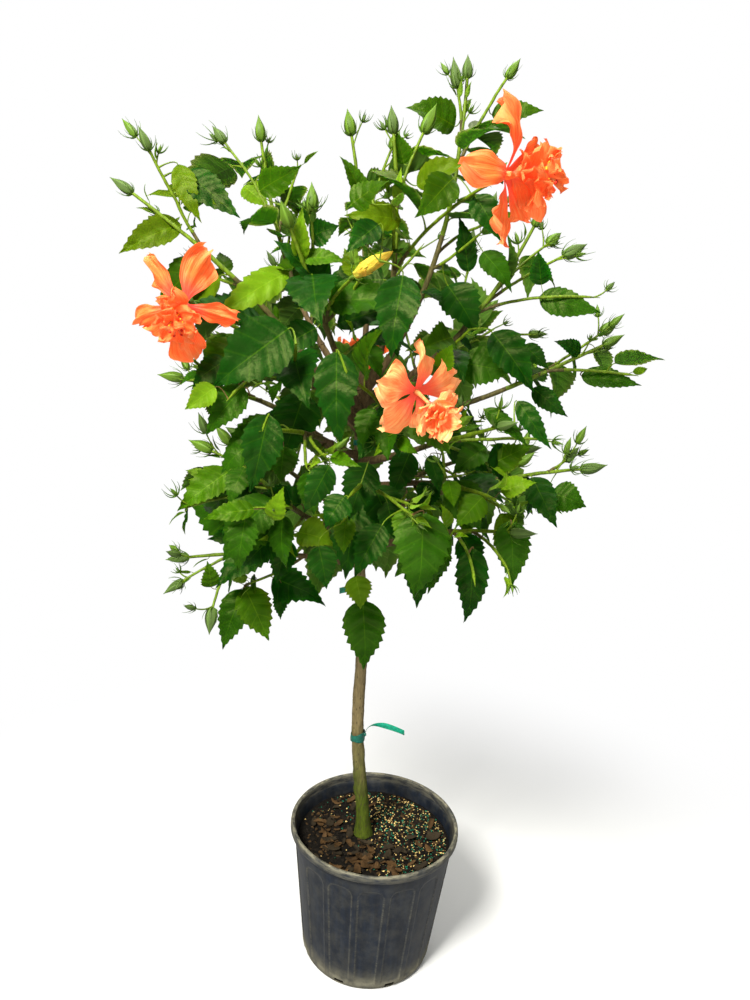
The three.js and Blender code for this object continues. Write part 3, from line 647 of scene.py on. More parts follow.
def petal_frames(bloom):
    """The frames of a bloom's five petals, which spread from the throat and bend back."""
    frames = []
    for k in range(BLOOM["petals"]):
        turn = (k + 0.25) * FULL_TURN / BLOOM["petals"] + math.radians(bloom.get("turn", 0))
        out = bloom["side"] * math.cos(turn) + bloom["rise"] * math.sin(turn)
        along = unit(out - bloom["facing"] * BLOOM["reflex"])
        upper = unit(bloom["facing"] + out * BLOOM["reflex"])
        frames.append({"base": bloom["centre"] + out * BLOOM["seat"], "out": out, "along": along,
                       "upper": upper, "across": np.cross(along, upper)})
    return frames


@lru_cache(maxsize=1)
def grown_crown():
    return Crown()


def every_line():
    """Every line of the crown with its mass, in the masses' order."""
    return [(mass, line) for mass in grown_crown().masses for line in mass.lines]


# Meshes.


class Shape:
    """The points and faces of one piece, gathered part by part. Each face has the number of its finish,
    and each point a place: two shares across its part's pattern and the part's own chance number."""

    def __init__(self):
        self.points, self.places, self.faces, self.finishes = [], [], [], []
        self.count = 0

    def add(self, points, faces, finish=0, places=None):
        points = np.asarray(points, float).reshape(-1, 3)
        self.points.append(points)
        places = np.zeros_like(points) if places is None else np.asarray(places, float)
        self.places.append(places.reshape(-1, 3))
        finishes = finish if isinstance(finish, (list, tuple)) else [finish] * len(faces)
        for part, number in zip(faces, finishes):
            self.faces.append(part + self.count)
            self.finishes.append(np.broadcast_to(number, len(part)))
        self.count += len(points)

    def object(self, name, finishes, crease=70):
        """What has been gathered, as an object in the scene."""
        mesh = bpy.data.meshes.new(name)
        points = np.concatenate(self.points) * MM
        corners = np.concatenate([part.ravel() for part in self.faces])
        sizes = np.concatenate([np.full(len(part), part.shape[1]) for part in self.faces])
        mesh.vertices.add(len(points))
        mesh.vertices.foreach_set("co", points.ravel())
        mesh.loops.add(len(corners))
        mesh.loops.foreach_set("vertex_index", corners.astype(np.int32))
        mesh.polygons.add(len(sizes))
        mesh.polygons.foreach_set("loop_start", (np.cumsum(sizes) - sizes).astype(np.int32))
        mesh.polygons.foreach_set("material_index", np.concatenate(self.finishes).astype(np.int32))
        place = mesh.attributes.new("place", "FLOAT_VECTOR", "POINT")
        place.data.foreach_set("vector", np.concatenate(self.places).ravel())
        mesh.update(calc_edges=True)
        mesh.validate()
        mesh.shade_smooth()
        mesh.set_sharp_from_angle(angle=math.radians(crease))
        for finish in finishes:
            mesh.materials.append(finish)
        made = bpy.data.objects.new(name, mesh)
        bpy.context.scene.collection.objects.link(made)
        return made

    def piece(self, name, finishes, slot, nodes=(), crease=70):
        """A piece that rides on the plant's one body and stands for the given nodes."""
        made = self.object(name, finishes, crease)
        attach(made, "root")
        if nodes:
            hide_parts(*nodes)


def grid_faces(rows, columns, wrapped=False):
    """The four-sided faces of a grid of points, row by row. A wrapped grid closes on itself."""
    across = np.arange(columns if wrapped else columns - 1)
    first = np.arange(rows - 1)[:, None] * columns + across
    second = np.arange(rows - 1)[:, None] * columns + (across + 1) % columns
    return np.stack((first, second, second + columns, first + columns), axis=-1).reshape(-1, 4)


def tube_faces(rows, sides):
    """The faces of a closed tube of rings: its side, its foot and its top."""
    foot = np.arange(sides)[None, ::-1]
    top = (rows - 1) * sides + np.arange(sides)[None, :]
    return [grid_faces(rows, sides, wrapped=True), foot, top]


def places_of(along, across, chance):
    """The places of a part's points in its pattern, from shares that are numbers or arrays."""
    return np.stack(np.broadcast_arrays(along, across, chance), axis=-1)


@lru_cache(maxsize=None)
def sheet_faces(rows, columns):
    """Front and back faces of a thin closed sheet whose two sides share their rim. Both sides start each
    face at the same corner, so they fold along the same diagonal and don't poke through each other."""
    front = grid_faces(rows, columns)
    inner = np.zeros((rows, columns), bool)
    inner[1:-1, 1:-1] = True
    back_number = np.arange(rows * columns)
    back_number[inner.ravel()] = rows * columns + np.arange(inner.sum())
    return front, back_number[front][:, [0, 3, 2, 1]], inner.ravel()


def add_sheet(shape, front, thickness, finish, places):
    """A thin closed sheet from a grid of points, with one finish for its front and one for its back."""
    rows, columns, _ = front.shape
    along, across = np.gradient(front, axis=(0, 1))
    normal = np.cross(across, along)
    normal /= np.linalg.norm(normal, axis=2, keepdims=True) + 1e-9
    front_faces, back_faces, inner = sheet_faces(rows, columns)
    back = (front - normal * thickness).reshape(-1, 3)[inner]
    places = places.reshape(-1, 3)
    shape.add(np.concatenate((front.reshape(-1, 3), back)), [front_faces, back_faces], finish,
              np.concatenate((places, places[inner])))


def add_bar(shape, line, radii, sides, finish, chance=0.0, relief=None):
    """A round bar along points, closed at both ends. relief widens it by ring and side."""
    line = np.asarray(line)
    ways = np.gradient(line, axis=0)
    ways /= np.linalg.norm(ways, axis=1, keepdims=True)
    side = square_to(ways[0], 0)
    turns = ring_turns(sides)
    rings = []
    for k, (centre, way) in enumerate(zip(line, ways)):
        side = square_off(side, way)
        other = np.cross(way, side)
        reach = radii[k] + (0 if relief is None else relief[k])
        ring = np.outer(np.cos(turns) * reach, side) + np.outer(np.sin(turns) * reach, other)
        rings.append(centre + ring)
    places = places_of(np.linspace(0, 1, len(line))[:, None], np.arange(sides) / sides, chance)
    if not np.isscalar(finish):
        finish = [np.repeat(finish, sides), finish[0], finish[-1]]
    shape.add(rings, tube_faces(len(line), sides), finish, places)


# Finishes.


class Finish:
    """A material in the making: one Principled shader, with helpers that make and link the nodes."""

    def __init__(self, name, colour, roughness=0.5, **sockets):
        self.made = bpy.data.materials.new(name)
        self.made.use_nodes = True
        self.tree = self.made.node_tree
        self.shader = self.tree.nodes["Principled BSDF"]
        self.shader.inputs["Base Color"].default_value = (*colour, 1)
        self.shader.inputs["Roughness"].default_value = roughness
        for socket, value in sockets.items():
            self.shader.inputs[socket.replace("_", " ")].default_value = value
        self.made.diffuse_color = (*colour, 1)

    def node(self, kind, inputs=(), **settings):
        made = self.tree.nodes.new(f"ShaderNode{kind}")
        for name, value in settings.items():
            setattr(made, name, value)
        for name, value in dict(inputs).items():
            socket = made.inputs[name]
            if isinstance(value, bpy.types.NodeSocket):
                self.tree.links.new(value, socket)
            else:
                socket.default_value = value
        return made

    def where(self, stretch=(1, 1, 1)):
        """The point on the object, stretched by a factor along each axis."""
        place = self.node("TexCoord").outputs["Object"]
        return self.node("Mapping", {"Vector": place, "Scale": stretch}).outputs["Vector"]

    def pattern(self, stretch=(1, 1, 1)):
        """The point's place in its part's own pattern."""
        place = self.node("Attribute", attribute_name="place").outputs["Vector"]
        return self.node("Mapping", {"Vector": place, "Scale": stretch}).outputs["Vector"]

    def parts(self, vector):
        return self.node("SeparateXYZ", {"Vector": vector}).outputs

    def noise(self, vector, scale, detail=3.0, roughness=0.55):
        inputs = {"Vector": vector, "Scale": scale, "Detail": detail, "Roughness": roughness}
        return self.node("TexNoise", inputs).outputs["Fac"]

    def cells(self, vector, scale):
        return self.node("TexVoronoi", {"Vector": vector, "Scale": scale}).outputs["Distance"]

    def rise(self, value, low, high, to_low=0.0, to_high=1.0):
        inputs = {"Value": value, "From Min": low, "From Max": high, "To Min": to_low, "To Max": to_high}
        return self.node("MapRange", inputs, interpolation_type="SMOOTHSTEP").outputs["Result"]

    def sum(self, kind, first, second):
        return self.node("Math", {0: first, 1: second}, operation=kind).outputs["Value"]

    def veins(self, rib, across, midrib, side):
        """A leaf's midrib, and a side vein wherever its count along the leaf is a whole number."""
        middle = self.rise(self.sum("ABSOLUTE", across, 0.0), 0.012, 0.045, midrib, 0.0)
        beside = self.rise(self.sum("PINGPONG", rib, 0.5), 0.02, 0.07, side, 0.0)
        return self.sum("MAXIMUM", middle, beside)

    def blend(self, share, first, second):
        """A mix of two colours, each a plain one or a socket."""
        sockets = {0: share, 6: first, 7: second}
        for number in (6, 7):
            if not isinstance(sockets[number], bpy.types.NodeSocket):
                sockets[number] = (*sockets[number], 1)
        return self.node("Mix", sockets, data_type="RGBA").outputs[2]

    def tones(self, value, low, high, colour, dark, light):
        """A colour from a darker to a lighter tone, as a value rises."""
        return self.blend(self.rise(value, low, high), shade(colour, dark), shade(colour, light))

    def colour(self, value):
        self.tree.links.new(value, self.shader.inputs["Base Color"])

    def roughness(self, value):
        self.tree.links.new(value, self.shader.inputs["Roughness"])

    def bump(self, height, strength, distance):
        made = self.node("Bump", {"Height": height, "Strength": strength, "Distance": distance})
        self.tree.links.new(made.outputs["Normal"], self.shader.inputs["Normal"])


def shade(colour, factor):
    return tuple(clamp(part * factor) for part in colour)


LEAF_SHEEN = (0.9, 1.0, 0.35, 1.0)
LET_THROUGH = {
    "Subsurface_Weight": 0.2, "Subsurface_Radius": (0.002, 0.004, 0.001), "Subsurface_Scale": 1.0,
}


def leaf_finish(name, colour, vein, gloss, sheen):
    """A leaf's upper side: paler veins, slow changes of tone, and a waxy gloss on puckered skin."""
    finish = Finish(name, colour, gloss, Specular_IOR_Level=sheen, Specular_Tint=LEAF_SHEEN, **LET_THROUGH)
    rib, across, chance = finish.parts(finish.pattern())
    tone = finish.noise(finish.where(), 38.0, 2.0)
    plain = finish.tones(tone, 0.3, 0.7, colour, 0.74, 1.25)
    plain = finish.blend(finish.sum("MULTIPLY", chance, 0.4), plain, shade(colour, 1.5))
    finish.colour(finish.blend(finish.veins(rib, across, 0.6, 0.2), plain, vein))
    finish.bump(finish.noise(finish.where(), 150.0, 3.0, 0.6), 0.55, 0.0016)
    return finish.made


def under_finish(name, colour):
    """A leaf's underside: paler and dull, with raised veins."""
    finish = Finish(name, colour, 0.62, Specular_IOR_Level=0.12, Specular_Tint=LEAF_SHEEN, **LET_THROUGH)
    rib, across, chance = finish.parts(finish.pattern())
    plain = finish.blend(finish.sum("MULTIPLY", chance, 0.4), shade(colour, 0.85), shade(colour, 1.25))
    finish.colour(finish.blend(finish.veins(rib, across, 0.8, 0.5), plain, shade(colour, 1.7)))
    return finish.made


def stem_finish(name, colour, roughness, stretch=(1, 1, 0.25)):
    """Green or brown skin of a shoot, streaked along the shoot."""
    finish = Finish(name, colour, roughness, Specular_IOR_Level=0.2)
    streak = finish.noise(finish.where(stretch), 260.0, 4.0)
    finish.colour(finish.tones(streak, 0.3, 0.72, colour, 0.62, 1.35))
    finish.bump(streak, 0.4, 0.0005)
    return finish.made


def bud_finish(name, colour, roughness):
    """Smooth green skin of a bud, paler along its five ribs and towards its foot."""
    finish = Finish(name, colour, roughness, Specular_IOR_Level=0.2)
    reach, around, _ = finish.parts(finish.pattern((1, 5, 1)))
    rib = finish.rise(finish.sum("PINGPONG", around, 0.5), 0.02, 0.3, 1.0, 0.0)
    skin = finish.blend(finish.noise(finish.where(), 90.0), shade(colour, 0.7), shade(colour, 1.15))
    ribbed = finish.blend(finish.sum("MULTIPLY", rib, 0.7), skin, shade(colour, 1.6))
    finish.colour(finish.blend(finish.rise(reach, 0.0, 0.35, 0.4, 0.0), ribbed, shade(colour, 1.7)))
    return finish.made


def bark_finish(name, young, old, settings):
    """Bark that is green near the soil and turns tan-grey above, with flecks and fine cracks."""
    finish = Finish(name, old, 0.82, Specular_IOR_Level=0.3)
    height = finish.parts(finish.where())[2]
    patch = finish.noise(finish.where((1, 1, 0.35)), 55.0, 4.0)
    wander = finish.sum("ADD", height, finish.sum("MULTIPLY", patch, 0.16))
    turned = finish.rise(wander, settings.green_to * 0.8 + 0.05, settings.green_to + 0.16)
    fine = finish.noise(finish.where((1, 1, 0.2)), 320.0, 6.0, 0.65)
    green = finish.tones(fine, 0.32, 0.7, young, 0.62, 1.4)
    tan = finish.tones(fine, 0.3, 0.72, old, 0.68, 1.25)
    bark = finish.blend(turned, green, tan)
    fleck = finish.cells(finish.where((1, 1, 0.5)), 190.0)
    finish.colour(finish.blend(finish.rise(fleck, 0.12, 0.3, 0.75, 0.0), bark, shade(old, 0.28)))
    finish.bump(fine, 0.7, 0.0012)
    return finish.made


# A painted glow: the petals give off orange light of their own, in place of the light that thin petals let
# through.
PAINTED_PETAL_GLOW = (1.0, 0.15, 0.035, 1.0)


def petal_finish(name, outer, pale, throat, glow=0.24):
    """A petal: pink-red in the throat, warm orange beyond, with fine veins that spread to its rim, and a
    painted glow as strong as glow.
    """
    # The emission paints a glow on the petal, standing in for the light that it lets through.
    finish = Finish(name, outer, 0.62, Specular_IOR_Level=0.12, Subsurface_Weight=0.15,
                    Subsurface_Radius=(0.006, 0.003, 0.0015), Subsurface_Scale=0.5,
                    Emission_Color=PAINTED_PETAL_GLOW, Emission_Strength=glow)
    reach = finish.parts(finish.pattern())[0]
    vein = finish.noise(finish.pattern((3.0, 30, 9)), 1.0, 4.0, 0.65)
    ribbed = (outer[0], outer[1] * 0.6, outer[2] * 0.6)
    cloud = finish.noise(finish.pattern((2.2, 2.5, 7)), 1.0, 2.0)
    body = finish.blend(finish.rise(cloud, 0.3, 0.75), outer, pale)
    body = finish.blend(finish.rise(vein, 0.38, 0.6), ribbed, body)
    body = finish.blend(finish.rise(reach, 0.8, 1.02, 0.0, 0.6), body, pale)
    finish.colour(finish.blend(finish.rise(reach, 0.08, 0.62), throat, body))
    finish.bump(vein, 0.8, 0.002)
    return finish.made


def plastic_finish(name, colour, dust, settings):
    """Weathered nursery plastic: dust in blotches, on the rim and on the foot, and streaks. It is paler along
    the panels' edges, and the pale line along the lip's top is partly dust and partly a painted highlight.
    """
    finish = Finish(name, colour, 0.5, Specular_IOR_Level=0.35)
    edge, low, _ = finish.parts(finish.pattern())
    streak = finish.noise(finish.where((1, 1, 0.05)), 130.0, 5.0, 0.65)
    blotch = finish.noise(finish.where(), 45.0, 8.0, 0.7)
    fine = finish.noise(finish.where(), 700.0, 2.0)
    level = finish.noise(finish.where((1, 1, 7)), 50.0, 6.0, 0.7)
    plain = finish.tones(streak, 0.35, 0.75, colour, 0.72, 1.45)
    dust_and_highlight = finish.sum("MULTIPLY", finish.rise(blotch, 0.36, 0.72), settings.dust)
    # The panels' edges and the lip are paler; the line along the lip's top is partly dust and partly painted
    # highlight.
    dust_and_highlight = finish.sum("ADD", dust_and_highlight, finish.sum("MULTIPLY", edge, finish.rise(level, 0.38, 0.62, 0.1, 1.1)))
    dust_and_highlight = finish.sum("ADD", dust_and_highlight, finish.sum("MULTIPLY", low, finish.rise(blotch, 0.2, 0.65, 0.25, 1.0)))
    share = finish.node("Clamp", {"Value": dust_and_highlight}).outputs["Result"]
    finish.colour(finish.blend(share, plain, dust))
    finish.roughness(finish.rise(share, 0.0, 0.8, 0.42, 0.85))
    finish.bump(finish.sum("ADD", fine, streak), 0.12, 0.000064)
    return finish.made


def grain_finish(name, colour, scale=300.0, roughness=0.9, spread=0.6):
    """Earth, grit and litter: each piece has its own tone, with a rough surface."""
    finish = Finish(name, colour, roughness, Specular_IOR_Level=0.2)
    chance = finish.parts(finish.pattern())[2]
    patch = finish.noise(finish.where(), scale, 5.0, 0.65)
    plain = finish.tones(patch, 0.3, 0.7, colour, 1 - spread, 1 + spread)
    finish.colour(finish.blend(finish.sum("MULTIPLY", chance, 0.7), plain, shade(colour, 1.9)))
    finish.bump(patch, 0.6, 0.001)
    return finish.made


# Settings that a user would change.


def colour_setting(name, about, default):
    return FloatVectorProperty(name=name, description=about, default=default, subtype="COLOR", size=3,
                               min=0, max=1)


def length_setting(name, about, default):
    return FloatProperty(name=name, description=about, default=default, unit="LENGTH", subtype="DISTANCE",
                         min=0)


def share_setting(name, about, default):
    return FloatProperty(name=name, description=about, default=default, subtype="FACTOR", min=0, max=1)


def count_setting(name, about, default, low=0):
    return IntProperty(name=name, description=about, default=default, min=low)


def angle_setting(name, about, degrees):
    return FloatProperty(name=name, description=about, default=math.radians(degrees), subtype="ANGLE")


POT_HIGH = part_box("pot")[1]


class PotSettings(bpy.types.PropertyGroup):
    """Sizes and colours of the pot."""

    rim_radius: length_setting("Rim radius", "From the axis to the outside of the rim", POT_HIGH.x)
    height: length_setting("Height", "From the underside to the top of the rim", POT_HIGH.z)
    foot_radius: length_setting("Foot radius", "From the axis to the edge of the underside", 0.1055)
    panels: count_setting("Panels", "Pressed panels around the side", 16, 4)
    panel_depth: length_setting("Panel depth", "How deep the panels are pressed in", 0.0016)
    rib: length_setting("Rib", "Width of the rib between two panels", 0.009)
    dust: share_setting("Dust", "How much dust clings to the side", 0.11)
    plastic: colour_setting("Plastic", "Colour of the clean plastic", (0.0078, 0.0125, 0.0235))
    # This colour paints the dust, and the painted highlight along the lip's top.
    dust_and_highlight_colour: colour_setting("Dust colour", "Colour of the dust", (0.25, 0.235, 0.17))


class SoilSettings(bpy.types.PropertyGroup):
    """The potting mix and what lies on it."""

    grit: count_setting("Grit", "Pale grains on the soil", 850)
    chips: count_setting("Chips", "Dark crumbs and bark chips", 1500)
    prills: count_setting("Prills", "Round feed pellets", 620)
    litter: count_setting("Litter", "Pieces of dry leaf", 90)
    soil_colour: colour_setting("Soil", "Colour of the damp mix", (0.0042, 0.0031, 0.0020))
    grit_colour: colour_setting("Grit colour", "Colour of the pale grains", (0.60, 0.40, 0.15))
    chip_colour: colour_setting("Chip colour", "Colour of the chips", (0.007, 0.005, 0.0033))
    brown_chip_colour: colour_setting("Brown chip colour", "Colour of the paler chips", (0.046, 0.026, 0.010))
    prill_colour: colour_setting("Prill colour", "Colour of the feed pellets", (0.006, 0.13, 0.075))
    litter_colour: colour_setting("Litter colour", "Colour of the dry leaves", (0.056, 0.030, 0.011))
    rotted_colour: colour_setting("Rotted colour", "Colour of the older leaves", (0.022, 0.016, 0.009))


class BarkSettings(bpy.types.PropertyGroup):
    """The trunk and the boughs."""

    relief: length_setting("Relief", "Depth of the bark's furrows", 0.0005)
    knots: count_setting("Knots", "Healed scars along the trunk", 26)
    green_to: length_setting("Green to", "Height up to which the bark is green", 0.37)
    young: colour_setting("Green bark", "Colour of the bark near the soil", (0.058, 0.084, 0.003))
    old: colour_setting("Tan bark", "Colour of the bark higher up", (0.198, 0.151, 0.070))
    bough: colour_setting("Bough", "Colour of the boughs", (0.12, 0.082, 0.036))
    twig: colour_setting("Twig", "Colour of the older twigs", (0.085, 0.075, 0.022))
    shoot: colour_setting("Shoot", "Colour of the young shoots", (0.125, 0.205, 0.008))
    stalk: colour_setting("Leaf stalk", "Colour of the reddish leaf stalks", (0.12, 0.075, 0.025))


class LeafSettings(bpy.types.PropertyGroup):
    """The leaves."""

    thickness: length_setting("Thickness", "Thickness of a leaf", 0.0004)
    teeth: count_setting("Teeth", "Teeth on each side of a leaf", 10, 4)
    tooth: share_setting("Tooth depth", "Depth of a tooth, as a share of the leaf's half width", 0.075)
    quilt: share_setting("Quilting", "How far the leaf swells between its veins", 0.045)
    young: colour_setting("Young", "Tone of the youngest leaves", (0.135, 0.25, 0.010))
    bright: colour_setting("Bright", "Tone of young full leaves", (0.084, 0.172, 0.004))
    # Leaves further out in the crown take the lighter of these tones and inner ones the darker: painted light
    # and shade.
    fresh: colour_setting("Fresh", "Tone of the outer leaves", (0.032, 0.094, 0.0015))
    full: colour_setting("Full", "Tone of grown leaves", (0.013, 0.054, 0.0015))
    deep: colour_setting("Deep", "Tone of the inner and lower leaves", (0.0032, 0.030, 0.0018))
    olive: colour_setting("Olive", "Tone of the leaves at the top", (0.054, 0.098, 0.0015))
    # Dark olive is painted shade on the olive leaves at the top.
    dark_olive: colour_setting("Dark olive", "Tone of the shaded leaves at the top", (0.018, 0.052, 0.0012))
    under_young: colour_setting("Young underside", "Underside of young leaves", (0.15, 0.28, 0.022))
    under_full: colour_setting("Underside", "Underside of grown leaves", (0.062, 0.14, 0.018))


class BloomSettings(bpy.types.PropertyGroup):
    """The blooms and buds."""

    orange: colour_setting("Orange", "Outer colour of the petals", (1.0, 0.180, 0.034))
    peach: colour_setting("Peach", "Pale parts of the petals", (1.0, 0.31, 0.11))
    pale_orange: colour_setting("Light orange", "Outer colour of the fading bloom", (1.0, 0.42, 0.14))
    pale_peach: colour_setting("Light peach", "Pale parts of the fading bloom", (1.0, 0.58, 0.25))
    throat: colour_setting("Throat", "Colour of the throat", (0.95, 0.10, 0.10))
    pollen: colour_setting("Pollen", "Colour of the anthers", (0.85, 0.40, 0.03))
    stigma: colour_setting("Stigma", "Colour of the stigma pads", (0.72, 0.035, 0.012))
    bud: colour_setting("Bud", "Colour of the buds", (0.088, 0.17, 0.014))
    bud_dull: colour_setting("Dull bud", "Colour of the duller buds", (0.075, 0.13, 0.028))
    bract: colour_setting("Bract", "Colour of the narrow bracts", (0.06, 0.13, 0.010))
    opening: colour_setting("Opening bud", "Colour of the bud that opens", (0.70, 0.58, 0.06))


class TieSettings(bpy.types.PropertyGroup):
    """The ribbons round the trunk."""

    # The loose ribbon and the wound ribbon are one ribbon: the loose tail's brighter colour is painted light
    # let through it, and the wound turns' darker colour is painted shade.
    ribbon: colour_setting("Ribbon", "Colour of the loose ribbon", (0.008, 0.33, 0.20))
    wound: colour_setting("Wound ribbon", "Colour of the ribbon where it is wound", (0.006, 0.115, 0.082))
    width: length_setting("Width", "Width of the ribbon", 0.009)


class StageSettings(bpy.types.PropertyGroup):
    """The floor, the light and the camera."""

    floor: colour_setting("Floor", "Colour of the floor", (0.86, 0.875, 0.92))
    lens: FloatProperty(name="Lens", description="Focal length of the camera", default=28.8, min=1,
                        unit="CAMERA")
    tilt: angle_setting("Tilt", "How far the camera looks down", 14.2)
    roll: angle_setting("Roll", "How far the camera leans", 4.1)


# The pot and the soil.


def pot_slope(z, settings):
    """The outer radius of the pot's side at a height, without its lip."""
    foot, rim, top = millimetres(settings, "foot_radius", "rim_radius", "height")
    return mix(foot + 3, rim - 5, z / top)


def pot_inside(z, settings):
    """The inner radius of the pot's wall at a height."""
    return pot_slope(z, settings) - POT_WALL - settings.panel_depth / MM


def pot_profile(settings):
    """The rows of the pot from the middle of its underside, up the outside, over the lip and down the
    inside to the middle of its floor. Each is a radius, a height, and how much the panels press it in."""
    rim, top, foot = millimetres(settings, "rim_radius", "height", "foot_radius")
    rows = [(2.0, 0.0, 0), (foot * 0.6, 0.0, 0), (foot - 1.2, 0.0, 0), (foot, POT_FLOOR * 0.3, 0)]
    for z in (POT_FLOOR, 7.0, SLOT_TOP):
        rows.append((mix(foot + 0.6, pot_slope(z, settings), smooth(z, 0, 9)), z, 0))
    rows += [(pot_slope(z, settings), z, 1) for z in np.concatenate((
        np.arange(14, 34, 2.5), np.arange(36, 176, 10), np.arange(178, 212, 2.0)))]
    rows += [(pot_slope(z, settings), z, 0) for z in (216, 222, top - 13.5)]
    lip = ((3.2, 13), (0.8, 12.2), (0, 10.5), (0, 6), (0.3, 2.6), (1.5, 0.7), (3.2, 0))
    rows += [(rim - back, top - down, 0) for back, down in lip]
    inner = rim - 5 - POT_WALL
    throat = ((1.6, 0.6), (0.3, 2.2), (0, 5), (-1.0, 9), (-1.2, 12), (-2.0, 14))
    rows += [(inner + out, top - down, 0) for out, down in throat]
    rows += [(pot_inside(z, settings), z, 0) for z in (222, 212, 200, 120, SLOT_TOP, 7.0, POT_FLOOR)]
    rows += [(foot * 0.6, POT_FLOOR, 0), (2.0, POT_FLOOR, 0)]
    return rows


def panel_press(z, share, half, settings):
    """How far a point is outside a panel's rounded outline, in millimetres. Below 0 it is inside."""
    low, high = 8.0, 206.0
    middle = (low + high) / 2
    corner = 15.0 if z >= middle else 5.0
    across = abs(share) * half - (half - settings.rib / MM / 2 - corner)
    upward = abs(z - middle) - ((high - low) / 2 - corner)
    outside = math.hypot(max(across, 0), max(upward, 0))
    return outside + min(max(across, upward), 0) - corner


def make_pot(settings):
    """The pot: a lathe whose side is pressed into panels, with slots cut through its foot."""
    top, foot_radius, depth = millimetres(settings, "height", "foot_radius", "panel_depth")
    slot_share = math.asin(SLOT_WIDTH / 2 / foot_radius) / (math.pi / settings.panels)
    half_stations = (0, slot_share / 2, slot_share, 0.52, 0.66, 0.72, 0.76, 0.8, 0.84, 0.88, 0.94)
    stations = sorted({-share for share in half_stations} | set(half_stations) | {1.0})
    pitch = FULL_TURN / settings.panels
    angles = [(k + share / 2) * pitch for k in range(settings.panels) for share in stations]
    shares = stations * settings.panels
    rows = pot_profile(settings)
    points, places = [], []
    for radius, z, pressed in rows:
        half = math.pi * radius / settings.panels
        # The lip is dusty, and the pale line along its top is partly dust and partly painted highlight. The
        # foot is dusty.
        lip = 0.3 * float(smooth(z, top - 15, top - 12)) + 0.6 * float(smooth(z, top - 3.5, top - 1))
        foot = 0.8 * float(1 - smooth(z, 2, 45))
        for angle, share in zip(angles, shares):
            reach, edge = radius, 0.0
            if pressed:
                outside = panel_press(z, share, half, settings)
                reach -= depth * float(smooth(-outside, -0.2, 2.4))
                edge = 0.22 * float(1 - smooth(abs(outside + 0.6), 0.4, 1.8))
            points.append((reach * math.cos(angle), reach * math.sin(angle), z))
            places.append((edge + lip, foot, 0))
    columns = len(angles)
    side, *caps = tube_faces(len(rows), columns)
    heights = [z for _, z, _ in rows]
    spans = [k for k in range(len(rows) - 1)
             if POT_FLOOR <= min(heights[k:k + 2]) and max(heights[k:k + 2]) <= SLOT_TOP
             and rows[k][0] > foot_radius * 0.8]
    tiny = 1e-6
    open_columns = {
        k for k, angle in enumerate(angles)
        if -slot_share - tiny <= shares[k] < slot_share - tiny and round(angle / pitch) % 2
    }
    closed = [face for number, face in enumerate(side)
              if not (number // columns in spans and number % columns in open_columns)]
    walls = slot_walls(spans, heights, open_columns, columns)
    shape = Shape()
    shape.add(points, [np.array(closed), np.array(walls), *caps], 0, places)
    plastic = plastic_finish("pot plastic", settings.plastic, settings.dust_and_highlight_colour, settings)
    shape.piece("pot_shell", [plastic], "pot", ["pot"], crease=50)


def slot_walls(spans, heights, open_columns, columns):
    """The cut faces of the slots, which join the pot's outer side to its inner side."""
    rising = [k for k in spans if heights[k + 1] > heights[k]]
    falling = [k for k in spans if heights[k + 1] < heights[k]]
    pairs = list(zip(rising, reversed(falling)))
    walls = []
    for outer, inner in pairs:
        for k in open_columns:
            for side, way in ((k, 1), ((k + 1) % columns, -1)):
                beyond = (k - 1) % columns if way == 1 else (k + 1) % columns
                if beyond in open_columns:
                    continue
                corners = [outer * columns + side, (outer + 1) * columns + side,
                           inner * columns + side, (inner + 1) * columns + side]
                walls.append(corners[::way])
    low, high = rising[0], rising[-1] + 1
    inner_high, inner_low = falling[0], falling[-1] + 1
    for k in open_columns:
        after = (k + 1) % columns
        walls.append([low * columns + after, low * columns + k,
                      inner_low * columns + k, inner_low * columns + after])
        walls.append([high * columns + k, high * columns + after,
                      inner_high * columns + after, inner_high * columns + k])
    return walls


def soil_height(x, y):
    """The height of the soil's surface, which falls a little from its crest and is lumpy."""
    away = math.hypot(x, y)
    fall = SOIL_FALL * float(smooth(away, SOIL_CREST * 0.6, 125))
    lumps = noise.noise(Vector((x, y, 3)) / 9) * 1.3 + noise.noise(Vector((x, y, 40)) / 3.2) * 0.8
    return SOIL_TOP - 1.0 - fall + lumps


def make_soil(settings, pot):
    """The potting mix as one closed plug with a crumbly top."""
    rings, sides = 60, 140
    clear = 0.6
    inner = pot_inside(SOIL_TOP - SOIL_FALL, pot) - clear
    points = []
    for k in range(rings + 1):
        radius = mix(1.0, inner, (k / rings) ** 0.85)
        points += [(x, y, soil_height(x, y)) for x, y, _ in ring(radius, sides)]
    points += ring(inner - 0.3, sides, SOIL_TOP - 2 * SOIL_FALL)
    points += ring(pot_inside(POT_FLOOR, pot) - clear, sides, POT_FLOOR + JOINT_GAP)
    shape = Shape()
    shape.add(points, [part[:, ::-1] for part in tube_faces(rings + 3, sides)])
    earth = grain_finish("damp soil", settings.soil_colour, 180.0, 0.95, 0.75)
    shape.piece("soil_plug", [earth], "soil", ["soil"])


@lru_cache(maxsize=1)
def pebble():
    """The points and faces of a rough ball."""
    golden = (1 + math.sqrt(5)) / 2
    points = [p for a in (-1, 1) for b in (-golden, golden) for p in ((0, a, b), (a, b, 0), (b, 0, a))]
    points = np.array(points, float)
    points /= np.linalg.norm(points[0])
    edge = 2 / math.hypot(1, golden) + 0.01
    faces = []
    for a in range(12):
        for b in range(a + 1, 12):
            for c in range(b + 1, 12):
                trio = points[[a, b, c]]
                if all(np.linalg.norm(trio[i] - trio[i - 1]) < edge for i in range(3)):
                    outward = np.cross(trio[1] - trio[0], trio[2] - trio[0]).dot(trio.sum(0)) > 0
                    faces.append((a, b, c) if outward else (a, c, b))
    return points, np.array(faces)


